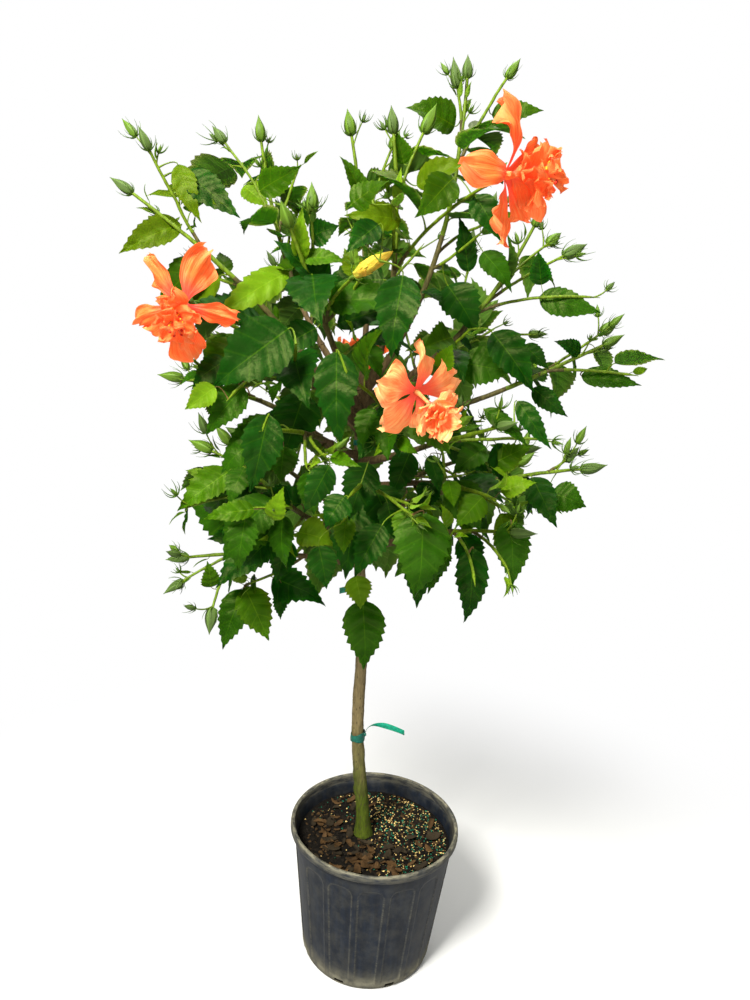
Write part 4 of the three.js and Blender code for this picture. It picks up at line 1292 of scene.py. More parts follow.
def spots_on_soil(chance, count, reach, lean=None):
    """Seeded spots on the soil, clear of the trunk. lean draws them towards one side."""
    spots = []
    while len(spots) < count:
        radius = reach * math.sqrt(chance.random())
        angle = FULL_TURN * chance.random()
        if lean is not None and chance.random() > 0.5 + 0.5 * math.cos(angle - lean):
            continue
        x, y = radius * math.cos(angle), radius * math.sin(angle)
        if math.hypot(x - TRUNK_FOOT[0], y - TRUNK_FOOT[1]) > SOIL_BARE:
            spots.append((x, y))
    return spots


def lying(chance, spread, axis):
    """A seeded turn for what lies on the soil: any way about Z, and a small tilt about another axis."""
    turn = Matrix.Rotation(FULL_TURN * chance.random(), 3, "Z")
    return np.array(turn @ Matrix.Rotation(chance.normal(0, spread), 3, axis)).T


def rough_pebble(chance, rough):
    """The points of a ball, each moved in or out by chance."""
    return pebble()[0] * (1 + rough * (chance.random((12, 1)) - 0.5))


def add_pebble(shape, points, finish, tone):
    """A ball from its twelve points, with its own tone."""
    shape.add(points, [pebble()[1]], finish, np.full((12, 3), tone))


def add_crumb(shape, chance, place, size, flat, finish, rough=0.22):
    """One grain or chip, lying on the soil."""
    turn = lying(chance, 0.35, "X")
    body = rough_pebble(chance, rough) * point((size, size * flat[0], size * flat[1]))
    centre = point((*place, soil_height(*place) + size * flat[1] * 0.45))
    add_pebble(shape, body @ turn + centre, finish, chance.random())


def make_soil_cover(settings, pot):
    """Grit, chips and round feed pellets on the soil."""
    chance = np.random.default_rng(11)
    reach = pot_inside(SOIL_TOP - SOIL_FALL, pot) - 5
    shape = Shape()
    for place in spots_on_soil(chance, settings.chips, reach):
        size = chance.uniform(1.5, 4.6)
        add_crumb(shape, chance, place, size, (0.62, 0.42), 1 + int(chance.random() < 0.2), 0.5)
    right = math.radians(15)
    for place in spots_on_soil(chance, settings.grit, reach, right):
        add_crumb(shape, chance, place, chance.uniform(0.5, 1.9), (0.8, 0.65), 0)
    for place in spots_on_soil(chance, settings.prills, reach, right):
        add_crumb(shape, chance, place, chance.uniform(0.9, 1.4), (1, 1), 3, 0.0)
    finishes = [
        grain_finish("pale grit", settings.grit_colour, 500.0, 0.85, 0.5),
        grain_finish("dark chips", settings.chip_colour, 400.0, 0.9, 0.6),
        grain_finish("brown chips", settings.brown_chip_colour, 400.0, 0.9, 0.6),
        grain_finish("feed pellets", settings.prill_colour, 600.0, 0.45, 0.25),
    ]
    shape.piece("soil_crumbs", finishes, "soil", crease=35)


def add_dry_leaf(shape, chance, x, y, finish):
    """One piece of dry leaf, rolled along its length and arched."""
    rows, columns = 9, 7
    length = chance.uniform(9, 30)
    width = length * chance.uniform(0.35, 0.7)
    roll = width * chance.uniform(0.28, 1.1) * chance.choice((-1, 1, 1))
    share = np.linspace(0, 1, rows)[:, None]
    side = np.linspace(-1, 1, columns)[None, :]
    ragged = 1 + 0.3 * (chance.random((rows, columns)) - 0.5)
    half = width / 2 * np.sqrt(np.clip(1.03 - (2 * share - 1) ** 2, 0.01, 1)) * ragged
    turned = side * half / roll
    flat_x = (share - 0.5) * length + 0 * side
    flat_y = np.abs(roll) * np.sin(np.abs(turned)) * np.sign(side)
    lift = roll * (1 - np.cos(turned)) + chance.uniform(-0.1, 0.22) * length * (2 * share - 1) ** 2
    front = np.stack((flat_x, flat_y, lift - lift.min()), axis=-1) @ lying(chance, 0.28, "Y")
    ground = soil_height(x, y) + chance.uniform(1.5, 4.0)
    places = places_of(np.zeros((rows, columns)), 0, chance.random())
    add_sheet(shape, front + point((x, y, ground)), 0.5, (finish, finish), places)


def make_litter(settings, pot):
    """Dry leaves on the soil, most of them at the front left."""
    chance = np.random.default_rng(5)
    reach = pot_inside(SOIL_TOP - SOIL_FALL, pot) - 17
    shape = Shape()
    for x, y in spots_on_soil(chance, settings.litter, reach, math.radians(235)):
        add_dry_leaf(shape, chance, x, y, int(chance.random() < 0.45))
    finishes = [
        grain_finish("dry leaves", settings.litter_colour, 120.0, 0.8, 0.55),
        grain_finish("rotted leaves", settings.rotted_colour, 120.0, 0.85, 0.55),
    ]
    shape.piece("leaf_litter", finishes, "soil", crease=60)


# The limbs.


def relief(line, sides, radius, depth, lumps, seed):
    """The bark's relief by ring and side: furrows along the limb, and broader lumps."""
    made = np.zeros((len(line), sides))
    for k, centre in enumerate(line):
        for side, turn in enumerate(ring_turns(sides)):
            spot = Vector((math.cos(turn) * radius, math.sin(turn) * radius, centre[2] * 0.22 + seed * 50))
            made[k, side] = depth * noise.noise(spot * 0.9) + lumps * noise.noise(spot * 0.22)
    return made


def make_trunk(settings):
    """The trunk, with furrows, knots and the scars of old leaves."""
    rings, sides = 230, 26
    chance = np.random.default_rng(3)
    heights = np.linspace(SOIL_TOP - 7, TRUNK_TOP, rings)
    line = np.array([trunk_at(z)[0] for z in heights])
    radii = np.array([trunk_at(max(z, SOIL_TOP))[1] for z in heights])
    radii[-4:] *= (0.97, 0.9, 0.72, 0.35)
    made = relief(line, sides, 10, settings.relief / MM, 0.9, 1)
    turns = ring_turns(sides)
    for _ in range(settings.knots):
        z, turn = chance.uniform(SOIL_TOP + 20, TRUNK_TOP - 20), FULL_TURN * chance.random()
        size, height = chance.uniform(3.5, 7.5), chance.uniform(0.8, 2.5)
        around = np.abs((turns - turn + math.pi) % FULL_TURN - math.pi) * 9
        away = np.hypot((heights - z)[:, None] / 1.1, around[None, :]) / size
        made += height * (np.exp(-(away ** 2)) - 0.75 * np.exp(-((away / 0.42) ** 2)))
    shape = Shape()
    add_bar(shape, line, radii, sides, 0, 0, made)
    bark = bark_finish("trunk bark", settings.young, settings.old, settings)
    shape.piece("trunk_bark", [bark], "bark", ["trunk"])


def make_boughs(settings):
    """The boughs, each a taper with a collar where it leaves the trunk."""
    shape = Shape()
    rings, sides = 34, 14
    shares = np.linspace(0, 1, rings)
    for number, mass in enumerate(grown_crown().masses):
        line = np.array([mass.bough.place_at(share) for share in shares])
        collar = 1 + 0.35 * np.exp(-shares * mass.bough.length / 9)
        radii = mix(BOUGH["root"], BOUGH["tip"] * 1.02, shares) * collar
        upright = line * point((1, 1, 0)) + np.outer(shares * mass.bough.length, UP) * 2
        made = relief(upright, sides, 6, settings.relief / MM, 0.7, number)
        add_bar(shape, line, radii, sides, 0, 0, made)
    bark = stem_finish("bough bark", settings.bough, 0.85)
    nodes = [f"bough_{mass.name}" for mass in grown_crown().masses]
    shape.piece("bough_bark", [bark], "bough", nodes)


def add_shoot(shape, line, chance):
    """A stem, shoot or twig: brown at its root, then olive, then green, with a knee at each leaf."""
    bend, size = line.bend, line.size
    last = 1.0
    if line.ends in ("bud", "opening"):
        last = 1 - BUD["seat" if line.ends == "bud" else "stalk"] * line.bud / bend.length
    steps = max(10, int(bend.length / 7))
    shares = np.linspace(0, last, steps)
    places = np.array([bend.place_at(share) for share in shares])
    wiggle = np.cumsum(chance.normal(0, 0.28, (steps, 3)), axis=0)
    places += (wiggle - wiggle[-1] * shares[:, None] / last) * np.sin(math.pi * shares / last)[:, None]
    radii = mix(size["root"], size["tip"] * 0.86, (shares / last) ** 0.8)
    for leaf in line.leaves:
        radii += 0.28 * np.exp(-(((shares - leaf["share"]) * bend.length / 4.5) ** 2))
    if line.ends == "leaves":
        radii *= 1 - 0.8 * smooth(shares, 0.86, 1)
    radii[0] *= 1.25
    brown, olive = (0.16, 0.42) if size is STEM else (0.0, 0.16)
    ages = np.where(shares[:-1] < brown, BARK_AGE, np.where(shares[:-1] < olive, OLIVE_AGE, GREEN_AGE))
    add_bar(shape, places, radii, 8, ages, chance.random())


def add_stalk(shape, leaf, chance):
    """A leaf's stalk, which leaves the twig and bends to the blade's way."""
    start, end = leaf["foot"], leaf["base"]
    length = np.linalg.norm(end - start)
    knee = end - leaf["along"] * length * 0.35 + leaf["stalk_way"] * length * 0.05
    path = Bend(start, knee, end + leaf["along"] * 1.5)
    thick = clamp(leaf["blade"] / 90, 0.5, 1.15)
    radii = np.linspace(1.15, 0.8, 6) * thick
    radii[0] *= 1.5
    reddish = leaf["height"] < 0.55 and chance.random() < 0.4
    add_bar(shape, path.points(5), radii, 5, RED_STALK if reddish else GREEN_AGE, chance.random())


# The leaves.


def leaf_outline(stations):
    """Half of a leaf's width along it, as a share of its widest: round at the foot, drawn out at the tip."""
    rise, fall = 0.64, 1.38
    widest = rise / (rise + fall)
    return (stations / widest) ** rise * ((1 - stations) / (1 - widest)) ** fall


@lru_cache(maxsize=None)
def leaf_template(teeth):
    """The grid of a flat leaf of length and half width 1: along, across, count of veins and swelling."""
    rows = 2 * teeth + 1
    stations = np.linspace(0, 1, rows)
    spread = np.clip(stations, 0.004, 0.992)
    outline = leaf_outline(spread)
    toothed = smooth(stations, 0.12, 0.3) * (1 - 0.6 * smooth(stations, 0.85, 1))
    pointing = np.where(np.arange(rows) % 2 == 1, 1.0, -0.7) * toothed
    slant = 0.17 * np.sin(math.pi * stations) ** 0.8
    columns = np.array([-1, -0.52, 0, 0.52, 1])
    across = np.abs(columns)[None, :]
    along = spread[:, None] - slant[:, None] * (1 - across)
    vein = (np.arange(rows)[:, None] - 1) / 4 * np.ones_like(across)
    swell = np.where(np.arange(rows) % 4 == 1, 0.0, np.where(np.arange(rows) % 4 == 3, 1.0, 0.65))
    swell = (swell * np.sin(math.pi * stations) ** 0.5)[:, None] * (1 - np.abs(2 * across - 1.04))
    return stations, outline, pointing, along, columns, vein, np.clip(swell, 0, 1)


def add_leaf(shape, leaf, settings, finish, chance):
    """A toothed leaf that arches along its length, folds along its midrib and swells between its veins."""
    stations, outline, pointing, along, columns, vein, swell = leaf_template(settings.teeth)
    blade = leaf["blade"]
    half = LEAF["width"] * leaf["slim"] * blade / 2
    fold, arch, curl, wave, twist = (leaf[key] for key in ("fold", "arch", "curl", "wave", "twist"))
    edge = np.abs(columns)[None, :] == 1
    coarse = mix(1.35, 0.95, leaf["height"])
    bite = coarse * chance.uniform(0.45, 1.25, (len(stations), 1)) * pointing[:, None] * edge
    widths = half * outline[:, None] * (1 + settings.tooth * bite)
    x = blade * (along + 0.014 * bite)
    y = columns[None, :] * widths
    share = np.clip(along, 0, 1)
    z = blade * (arch * np.sin(math.pi * share) - curl * np.clip(share - 0.55, 0, 1) ** 2 * 2.2)
    z = z + fold * np.abs(y)
    z += wave * half * np.sin(FULL_TURN * (1.6 * share + leaf["phase"]) + (columns[None, :] > 0) * 1.7) * (
        columns[None, :] ** 2) * outline[:, None]
    z += settings.quilt * mix(1.15, 0.75, leaf["height"]) * blade * swell
    angle = twist * share
    side, lift = y * np.cos(angle) - z * np.sin(angle), y * np.sin(angle) + z * np.cos(angle)
    front = (leaf["base"] + x[..., None] * leaf["along"] + side[..., None] * leaf["across"]
             + lift[..., None] * leaf["upper"])
    add_sheet(shape, front, settings.thickness / MM, finish, places_of(vein, columns, chance.random()))


def on_the_sheet(points):
    """Where points seen from the front fall on the upright sheet through the trunk."""
    eye = point(EYE)
    share = -eye[1] / (points[:, 1] - eye[1])
    return eye + (points - eye) * share[:, None]


def hides_shown(points, shown):
    """Whether points, seen from the front, hide what is shown: the opening bud and the clear leaves, each a
    place on the sheet, a radius and a depth."""
    seen = on_the_sheet(points)
    x, z, radius, depth = shown.T
    over = np.hypot(seen[:, None, 0] - x, seen[:, None, 2] - z) < radius
    return bool((over & (points[:, None, 1] < depth)).any())


def under_open_sky(leaf, shown):
    """Whether a leaf, seen from the front, reaches into one of the openings or hides what is shown."""
    points = leaf_points(leaf)[1:]
    seen = on_the_sheet(points)
    openings = np.array(SKY, float)
    away = np.hypot(seen[:, None, 0] - openings[:, 0], seen[:, None, 2] - openings[:, 1])
    return bool((away < openings[:, 2]).any() or hides_shown(points, shown))


def in_reach(leaf):
    """Whether a leaf keeps to the reach of the solids."""
    return all(inside_box(spot, -8) for spot in leaf_points(leaf))


def trim_to_sky(leaves, shown):
    """The leaves without those that would close an opening or hide what is shown. One that fits when smaller
    is made smaller."""
    kept = []
    for leaf in leaves:
        full = leaf["blade"]
        for share in (1, 0.85, 0.7):
            leaf["blade"] = full * share
            if in_reach(leaf) and not under_open_sky(leaf, shown):
                kept.append(leaf)
                break
    return kept


def face_leaf(leaf, upper):
    """Turns a leaf's upper side towards a way, square to the blade's length."""
    leaf["upper"] = square_off(upper, leaf["along"])
    leaf["across"] = np.cross(leaf["along"], leaf["upper"])


def settle_leaf(leaf, chance):
    """Lets a grown leaf hang by its weight, low ones more than high ones, and fill out towards the tip."""
    leaf["blade"] *= mix(1.1, 1.6, leaf["share"]) * chance.uniform(0.86, 1.1)
    sag = chance.uniform(0.15, 0.85) * (1.1 - leaf["height"])
    leaf["along"] = unit(leaf["along"] - UP * sag)
    upper = unit(leaf["upper"] + UP * leaf["height"] * 0.3)
    roll = chance.normal(0, 0.32)
    face_leaf(leaf, upper * math.cos(roll) + np.cross(leaf["along"], upper) * math.sin(roll))


def shape_leaf(leaf, chance):
    """How one leaf folds, arches and curls. High and young leaves fold more, low ones hang flatter."""
    leaf["fold"] = mix(0.05, 0.34, leaf["height"]) + chance.normal(0, 0.13)
    leaf["arch"] = chance.uniform(0.0, 0.1)
    leaf["curl"] = chance.uniform(-0.05, 0.42)
    leaf["wave"] = chance.uniform(0.03, 0.12)
    leaf["twist"] = chance.normal(0, 0.28)
    leaf["phase"] = chance.random()
    if "tone" not in leaf:
        leaf["slim"] = leaf.get("slim", 1.0) * chance.uniform(0.7, 1.0) * mix(1.06, 1.0, leaf["height"])


def leaf_tone(leaf, chance):
    """The number of a leaf's finish: lighter towards the tips of shoots and higher up, darker deeper in the
    crown as painted shade, and olive at the top, where the darker leaves take the dark olive finish as
    painted shade.
    """
    stray = chance.normal(0, 0.11)
    wander = chance.normal(0, 0.12)
    if "tone" in leaf:
        return leaf["tone"]
    crown_reach = 330
    out = np.linalg.norm(leaf["base"] - point((*CROWN["axis"], CROWN["heart"]))) / crown_reach
    high = height_share(leaf["foot"][2])
    # Nearness to the crown's heart darkens a leaf: painted shade where the crown shades itself.
    light = (0.16 * leaf["share"] + 0.16 * (leaf["share"] > 0.72) + 0.06 * high + 0.36 * clamp(out)
             + stray + leaf.get("young", 0.0) - 0.12)
    tone = int(clamp(light, 0, 0.999) * (YOUNG + 1))
    # At the top, full leaves take the dark olive finish, the olive leaves' painted shade.
    return {FULL: DARK_OLIVE, FRESH: OLIVE}.get(tone, tone) if high + wander > 0.6 else tone


def young_leaves(line, chance):
    """Small leaves near the end of a shoot, held close to it."""
    if line.ends == "bloom":
        return []
    bend = line.bend
    last = 1 - (line.bud + 6) / bend.length if line.ends in ("bud", "opening") else 0.99
    leaves = []
    phase = 360 * chance.random()
    for k in range(2 if line.ends == "bud" else 3):
        share = clamp(last - 0.045 * k - (0.06 if line.ends == "bud" else 0.01), 0.05, 1)
        axis = bend.way_at(share)
        side = square_to(axis, phase + LEAF["turn"] * k)
        size = chance.uniform(0.6, 1.0) * (24 if line.ends == "bud" else 38) + 7 * k
        leaf = leaf_frame(bend.place_at(share), axis, side, size, 0.15)
        leaf["along"] = unit(side * 0.55 + axis * 0.95 + UP * 0.12)
        face_leaf(leaf, unit(axis * 0.7 - side * 0.9 + UP * 0.6))
        young = mix(0.34, 0.14, height_share(leaf["foot"][2]))
        leaf.update(share=share, height=0.9, slim=0.6, young=young)
        leaves.append(leaf)
    return leaves


def more_leaves(mass, line, chance):
    """Leaves between those of the source's rule, where they find room."""
    bend = line.bend
    added = []
    bare_foot = MORE["bare_foot"]
    bare_tip = MORE["bare_tip" if line.ends == "leaves" else "bud_tip"]
    count = int(max(0, bend.length - MORE["least"] - bare_tip) / MORE["spacing"])
    phase = 360 * chance.random()
    for k in range(count):
        share = min(1, (bare_foot + (k + 0.5) * (bend.length - bare_foot - bare_tip) / count) / bend.length)
        foot, axis = bend.place_at(share), bend.way_at(share)
        height = height_share(foot[2])
        hang = mix(LEAF["hang_low"], LEAF["hang_high"], height) * chance.uniform(0.5, 1.4)
        full = mix(MORE["large"], MORE["small"], share) * chance.uniform(0.8, 1.12)
        for attempt in range(MORE["tries"]):
            side = square_to(axis, phase + LEAF["turn"] * k + MORE["retry"] * attempt)
            leaf = leaf_frame(foot, axis, side, full * LEAF["shrink"] ** attempt, hang)
            if grown_crown().leaf_fits(mass, leaf):
                leaf.update(share=share, height=height)
                added.append(leaf)
                break
    return added


def clear_leaves():
    """The leaves that stand clear. Each grows from a shoot that passes near the blade's foot, and rather from
    one towards the front."""
    eye = point(EYE)
    stations = np.linspace(CLEAR["from"], CLEAR["to"], CLEAR["stations"])
    feet = [(mass, line, line.bend.place_at(share)) for mass, line in every_line()
            if "back" not in mass.name for share in stations]
    places = np.array([foot for *_, foot in feet])
    depths = (places[:, 1] - eye[1]) / -eye[1]
    grown = []
    for x, z, length, turn, tone, slim in CLEAR_LEAVES:
        turn = math.radians(turn)
        way = unit(point((math.cos(turn), CLEAR["lean"], math.sin(turn))))
        bases = eye + (point((x, 0, z)) - eye) * depths[:, None] - np.outer(depths, way) * length / 2
        gaps = np.linalg.norm(bases - places, axis=1)
        nearest = int(np.argmin(gaps + CLEAR["forward"] * places[:, 1]))
        mass, line, foot = feet[nearest]
        base = bases[nearest]
        leaf = {
            "foot": foot, "base": base, "along": way, "blade": length * depths[nearest],
            "stalk_way": unit(base - foot + UP * CLEAR["rise"] * gaps[nearest]), "height": height_share(z),
            "tone": tone, "sheet": (x, z, length), "slim": slim, "line": line,
        }
        face_leaf(leaf, unit(eye - base) + UP * CLEAR["up"])
        grown.append((mass, leaf))
    return grown


def shown_places(clear):
    """What no other leaf hides: the opening bud, and the middles of the clear leaves."""
    places = [SHOWN_BUD]
    for _, leaf in clear:
        x, z, length = leaf["sheet"]
        depth = (leaf["base"] + leaf["along"] * leaf["blade"] / 2)[1]
        places.append((x, z, CLEAR["middle"] * length, depth + CLEAR["before"]))
    return np.array(places, float)


@lru_cache(maxsize=1)
def all_leaves():
    """Every leaf of the crown with its mass, in one order."""
    chance = np.random.default_rng(29)
    leaves = []
    clear = clear_leaves()
    shown = shown_places(clear)
    for mass, line in every_line():
        grown = line.leaves + more_leaves(mass, line, chance)
        for leaf in grown:
            settle_leaf(leaf, chance)
        for leaf in trim_to_sky(grown + young_leaves(line, chance), shown):
            leaf["line"] = line
            shape_leaf(leaf, chance)
            leaves.append((mass, leaf))
    for mass, leaf in clear:
        shape_leaf(leaf, chance)
        leaves.append((mass, leaf))
    return leaves


@lru_cache(maxsize=1)
def bare_twigs():
    """The twigs that have no leaf, bud or bloom left to carry, which aren't made."""
    carrying = {id(leaf["line"]) for _, leaf in all_leaves()}
    return {id(line) for _, line in every_line()
            if line.size is TWIG and line.ends == "leaves" and id(line) not in carrying}


def make_twigs(settings):
    """All the stems, shoots, twigs and leaf stalks."""
    chance = np.random.default_rng(17)
    shape = Shape()
    for _, line in every_line():
        if id(line) not in bare_twigs():
            add_shoot(shape, line, chance)
    for _, leaf in all_leaves():
        add_stalk(shape, leaf, chance)
    for bud in side_buds():
        add_bar(shape, bud["stalk"].points(6), np.linspace(1.25, 0.95, 7), 6, GREEN_AGE, chance.random())
    finishes = [
        stem_finish("twig bark", settings.bough, 0.8),
        stem_finish("olive shoot", settings.twig, 0.65),
        stem_finish("green shoot", settings.shoot, 0.5),
        stem_finish("reddish stalk", settings.stalk, 0.55),
    ]
    shape.piece("twigs", finishes, "foliage")


def part_of_crown(mass):
    """The part of the crown that a mass belongs to."""
    if "back" in mass.name:
        return "back"
    return "low" if "low" in mass.name or "inner" in mass.name else "high"


def make_leaves(settings):
    """The leaves, in one piece for each part of the crown."""
    chance = np.random.default_rng(41)
    finishes = [
        leaf_finish("deep leaf", settings.deep, shade(settings.fresh, 1.1), 0.42, 0.12),
        leaf_finish("full leaf", settings.full, shade(settings.fresh, 1.5), 0.42, 0.13),
        leaf_finish("fresh leaf", settings.fresh, shade(settings.bright, 1.3), 0.42, 0.11),
        leaf_finish("bright leaf", settings.bright, shade(settings.young, 1.2), 0.42, 0.1),
        leaf_finish("young leaf", settings.young, shade(settings.young, 1.5), 0.45, 0.1),
        under_finish("pale underside", settings.under_full),
        under_finish("young underside", settings.under_young),
        leaf_finish("olive leaf", settings.olive, shade(settings.olive, 1.8), 0.42, 0.1),
        # The dark olive finish is the olive leaf in painted shade.
        leaf_finish("dark olive leaf", settings.dark_olive, shade(settings.olive, 1.3), 0.4, 0.1),
    ]
    shapes = {}
    for mass, leaf in all_leaves():
        shape, names = shapes.setdefault(part_of_crown(mass), (Shape(), set()))
        tone = leaf_tone(leaf, chance)
        under = UNDER_YOUNG if tone in (BRIGHT, YOUNG) else UNDER_FULL
        add_leaf(shape, leaf, settings, (tone, under), chance)
        names.add(f"foliage_{mass.name}")
    for part, (shape, names) in shapes.items():
        shape.piece(f"leaves_{part}", finishes, "foliage", sorted(names), crease=75)


# Buds and blooms.


def inside_box(place, spare=2.0):
    """Whether a point is inside the box of the solids."""
    low, high = CAD_BOX
    return all(low[k] / MM + spare < place[k] < high[k] / MM - spare for k in range(3))


@lru_cache(maxsize=1)
def side_buds():
    """The side buds of the shoots: each one's stalk, length and way."""
    chance = np.random.default_rng(23)
    shown = shown_places(clear_leaves())
    found = []
    for _, line in every_line():
        if line.ends == "bloom":
            continue
        phase = 360 * chance.random()
        for k in range(1 + int(line.ends == "bud" and chance.random() < SIDE_BUD["second"])):
            last = 1 - line.bud / line.bend.length if line.ends != "leaves" else 1.0
            share = clamp(last * chance.uniform(0.82, 0.98), 0.1, 1)
            axis = line.bend.way_at(share)
            way = unit(square_to(axis, phase + LEAF["turn"] * k) + axis * 1.1 + UP * 0.5)
            reach = chance.uniform(*SIDE_BUD["reach"])
            foot = line.bend.place_at(share)
            tip = foot + way * reach + UP * reach * 0.15
            size = chance.choice(SIDE_BUD["sizes"]) * chance.uniform(0.85, 1.15)
            end = tip + unit(way + UP * 0.6) * size * 1.2
            hides = hides_shown(np.array([tip, end]), shown)
            if inside_box(end) and not hides and id(line) not in bare_twigs():
                stalk = bend_from(foot, unit(way + axis * 0.4), tip, 0.45)
                found.append({"stalk": stalk, "size": size, "way": stalk.way(1)})
    return found


def add_bud(shape, foot, way, length, girth, chance, finish, bract_share=0.6):
    """A pointed bud with five ribs, and a ring of narrow bracts at its foot."""
    shares = np.array([0, 0.05, 0.14, 0.27, 0.41, 0.55, 0.68, 0.8, 0.9, 1.0])
    swell = np.array([0.4, 0.7, 0.9, 1.0, 0.98, 0.84, 0.6, 0.35, 0.15, 0.02])
    sides = 15
    ribs = 0.1 * np.cos(5 * np.arange(sides) * FULL_TURN / sides)
    bent = square_to(way, 360 * chance.random()) * chance.normal(0, 0.04) * length
    line = foot + np.outer(shares, way) * length + np.outer(shares ** 2, bent)
    radii = swell * girth * length
    add_bar(shape, line, radii, sides, finish, chance.random(), np.outer(radii, ribs))
    bracts = 7
    thick = 1.15 if bract_share > 1 else 0.8
    for k in range(bracts):
        side = square_to(way, 360 * (k + 0.3 * chance.random()) / bracts)
        reach = length * bract_share * chance.uniform(0.75, 1.2)
        start = foot + side * radii[0] * 0.7 - way * 0.4
        knee = start + side * reach * 0.5 + way * reach * 0.18
        end = start + side * reach * chance.uniform(0.4, 0.65) + way * reach * chance.uniform(0.6, 0.95)
        slim = thick * np.linspace(1.0, 0.16, 6)
        add_bar(shape, Bend(start, knee, end).points(5), slim, 4, BRACT, chance.random())


def make_buds(settings):
    """The buds at the ends of shoots and on side stalks."""
    chance = np.random.default_rng(31)
    shape = Shape()
    for _, line in every_line():
        if line.ends == "bud":
            foot = line.bend.place_at(1 - line.bud / line.bend.length)
            way = unit(line.bend.end - foot)
            girth = BUD["girth"] * chance.uniform(0.8, 1.05)
            add_bud(shape, foot, way, line.bud, girth, chance, int(chance.random() < 0.5))
    for bud in side_buds():
        bract_share = 1.5 if bud["size"] < SIDE_BUD["small"] else 0.75
        dull = int(chance.random() < 0.4)
        foot = bud["stalk"].end
        add_bud(shape, foot, bud["way"], bud["size"], SIDE_BUD["girth"], chance, dull, bract_share)
    finishes = [
        bud_finish("bud skin", settings.bud, 0.5),
        bud_finish("dull bud skin", settings.bud_dull, 0.6),
        stem_finish("bract", settings.bract, 0.5),
    ]
    shape.piece("buds", finishes, "foliage")


def petal_grid(petal, length, width, chance, rows, columns):
    """The grid of a petal: a narrow claw that fans out to a blunt, ragged end with a ruffled rim."""
    share = np.linspace(0, 1, rows)[:, None]
    side = np.linspace(-1, 1, columns)[None, :]
    path = Bend(petal["base"], petal["base"] + petal["knee"], petal["base"] + petal["along"] * length)
    spine = np.array([path.at(s) for s in share[:, 0]])
    ways = np.gradient(spine, axis=0)
    ways /= np.linalg.norm(ways, axis=1, keepdims=True)
    normals = np.cross(petal["across"], ways)
    turn = petal.get("twist", 0.0) * share
    across = (petal["across"] * np.cos(turn) + normals * np.sin(turn))[:, None]
    normals = normals * np.cos(turn) - petal["across"] * np.sin(turn)
    fan = 0.16 + 0.84 * smooth(share, 0.0, 0.8)
    blunt = np.sqrt(np.clip(1 - (np.clip(share - 0.76, 0, 1) / 0.26) ** 2, 0.02, 1))
    half = width / 2 * fan * blunt * (1 + 0.05 * np.sin(9 * share + 6 * chance.random()))
    ragged = 0.04 * np.sin(6 * side + 6 * chance.random()) + 0.025 * np.sin(15 * side + 6 * chance.random())
    stretch = 1 - 0.08 * side ** 2 * share + share ** 3 * (ragged + petal.get("skew", 0.0) * side)
    phases = 6 * chance.random(3)
    rim = np.abs(side) * np.sin(share * 15 + side * 3 + phases[0]) + np.sin(side * 6 + phases[1]) * share
    lift = (0.07 * length * share ** 1.5 * (rim + 0.45 * np.sin(side * 13 + phases[2]))
            + petal["cup"] * half * side ** 2
            - petal.get("curl", 0.0) * length * np.clip(share - 0.5, 0, 1) ** 2)
    centre = petal["base"] + (spine - petal["base"])[:, None] * stretch[..., None]
    grid = centre + (side * half)[..., None] * across + lift[..., None] * normals[:, None]
    return grid, places_of(share, side * 0.5 + 0.5, chance.random())


def add_bloom(shape, stamens, bloom, finish, chance):
    """A double bloom: five broad petals, a column, a tuft of crumpled petals on it, and stamens."""
    length = bloom["scale"] * BLOOM["petal"]
    for petal, back in zip(petal_frames(bloom), bloom["back"]):
        size = length * bloom["long"] * chance.uniform(0.92, 1.08)
        petal["along"] = unit(petal["out"] - bloom["facing"] * (back + chance.uniform(-0.15, 0.3)))
        petal["knee"] = (bloom["facing"] * 0.22 + petal["out"] * 0.44) * length
        petal["across"] = unit(petal["across"] + petal["upper"] * chance.normal(0, 0.2))
        petal.update(cup=chance.uniform(-0.3, 0.4), twist=chance.normal(0, 0.4),
                     skew=chance.normal(0, 0.1), curl=chance.uniform(-0.2, 0.9))
        width = size * chance.uniform(0.54, 0.8) * bloom["breadth"]
        grid, places = petal_grid(petal, size, width, chance, 21, 17)
        add_sheet(shape, grid, 0.45, (finish, finish), places)
    far = bloom["scale"] * BLOOM["column"] * bloom["draw_out"]
    end = bloom["centre"] + unit(bloom["facing"] + bloom["lean"]) * far
    column = Bend(bloom["centre"], bloom["centre"] + bloom["facing"] * far * 0.5, end)
    add_tuft(shape, column, bloom, finish, chance)
    add_stamens(stamens, column, bloom["scale"], chance)


def add_tuft(shape, column, bloom, finish, chance):
    """Small crumpled petals that spring from the column and crowd round its end."""
    count = 24
    for k in range(count):
        rise = (k + chance.random()) / count
        share = mix(bloom["bare"], 0.96, rise)
        place, way = column.at(share), column.way(share)
        out = square_to(way, LEAF["turn"] * k + chance.normal(0, 14))
        along = unit(out * chance.uniform(0.5, 1.0) + way * mix(0.35, 0.8, rise))
        upper = square_off(way, along)
        size = bloom["scale"] * chance.uniform(22, 36)
        petal = {"base": place + out * 1.5, "along": along, "across": np.cross(along, upper),
                 "knee": unit(way + out * 0.5) * size * 0.5, "cup": chance.uniform(-0.8, 1.0),
                 "twist": chance.normal(0, 0.7), "skew": chance.normal(0, 0.15),
                 "curl": chance.uniform(-1.0, 1.4)}
        petal["across"] = unit(petal["across"] + upper * chance.normal(0, 0.5))
        grid, places = petal_grid(petal, size, size * chance.uniform(0.6, 0.95), chance, 11, 11)
        places[..., 0] = 0.2 + 0.75 * places[..., 0]
        add_sheet(shape, grid, 0.4, (finish, finish), places)


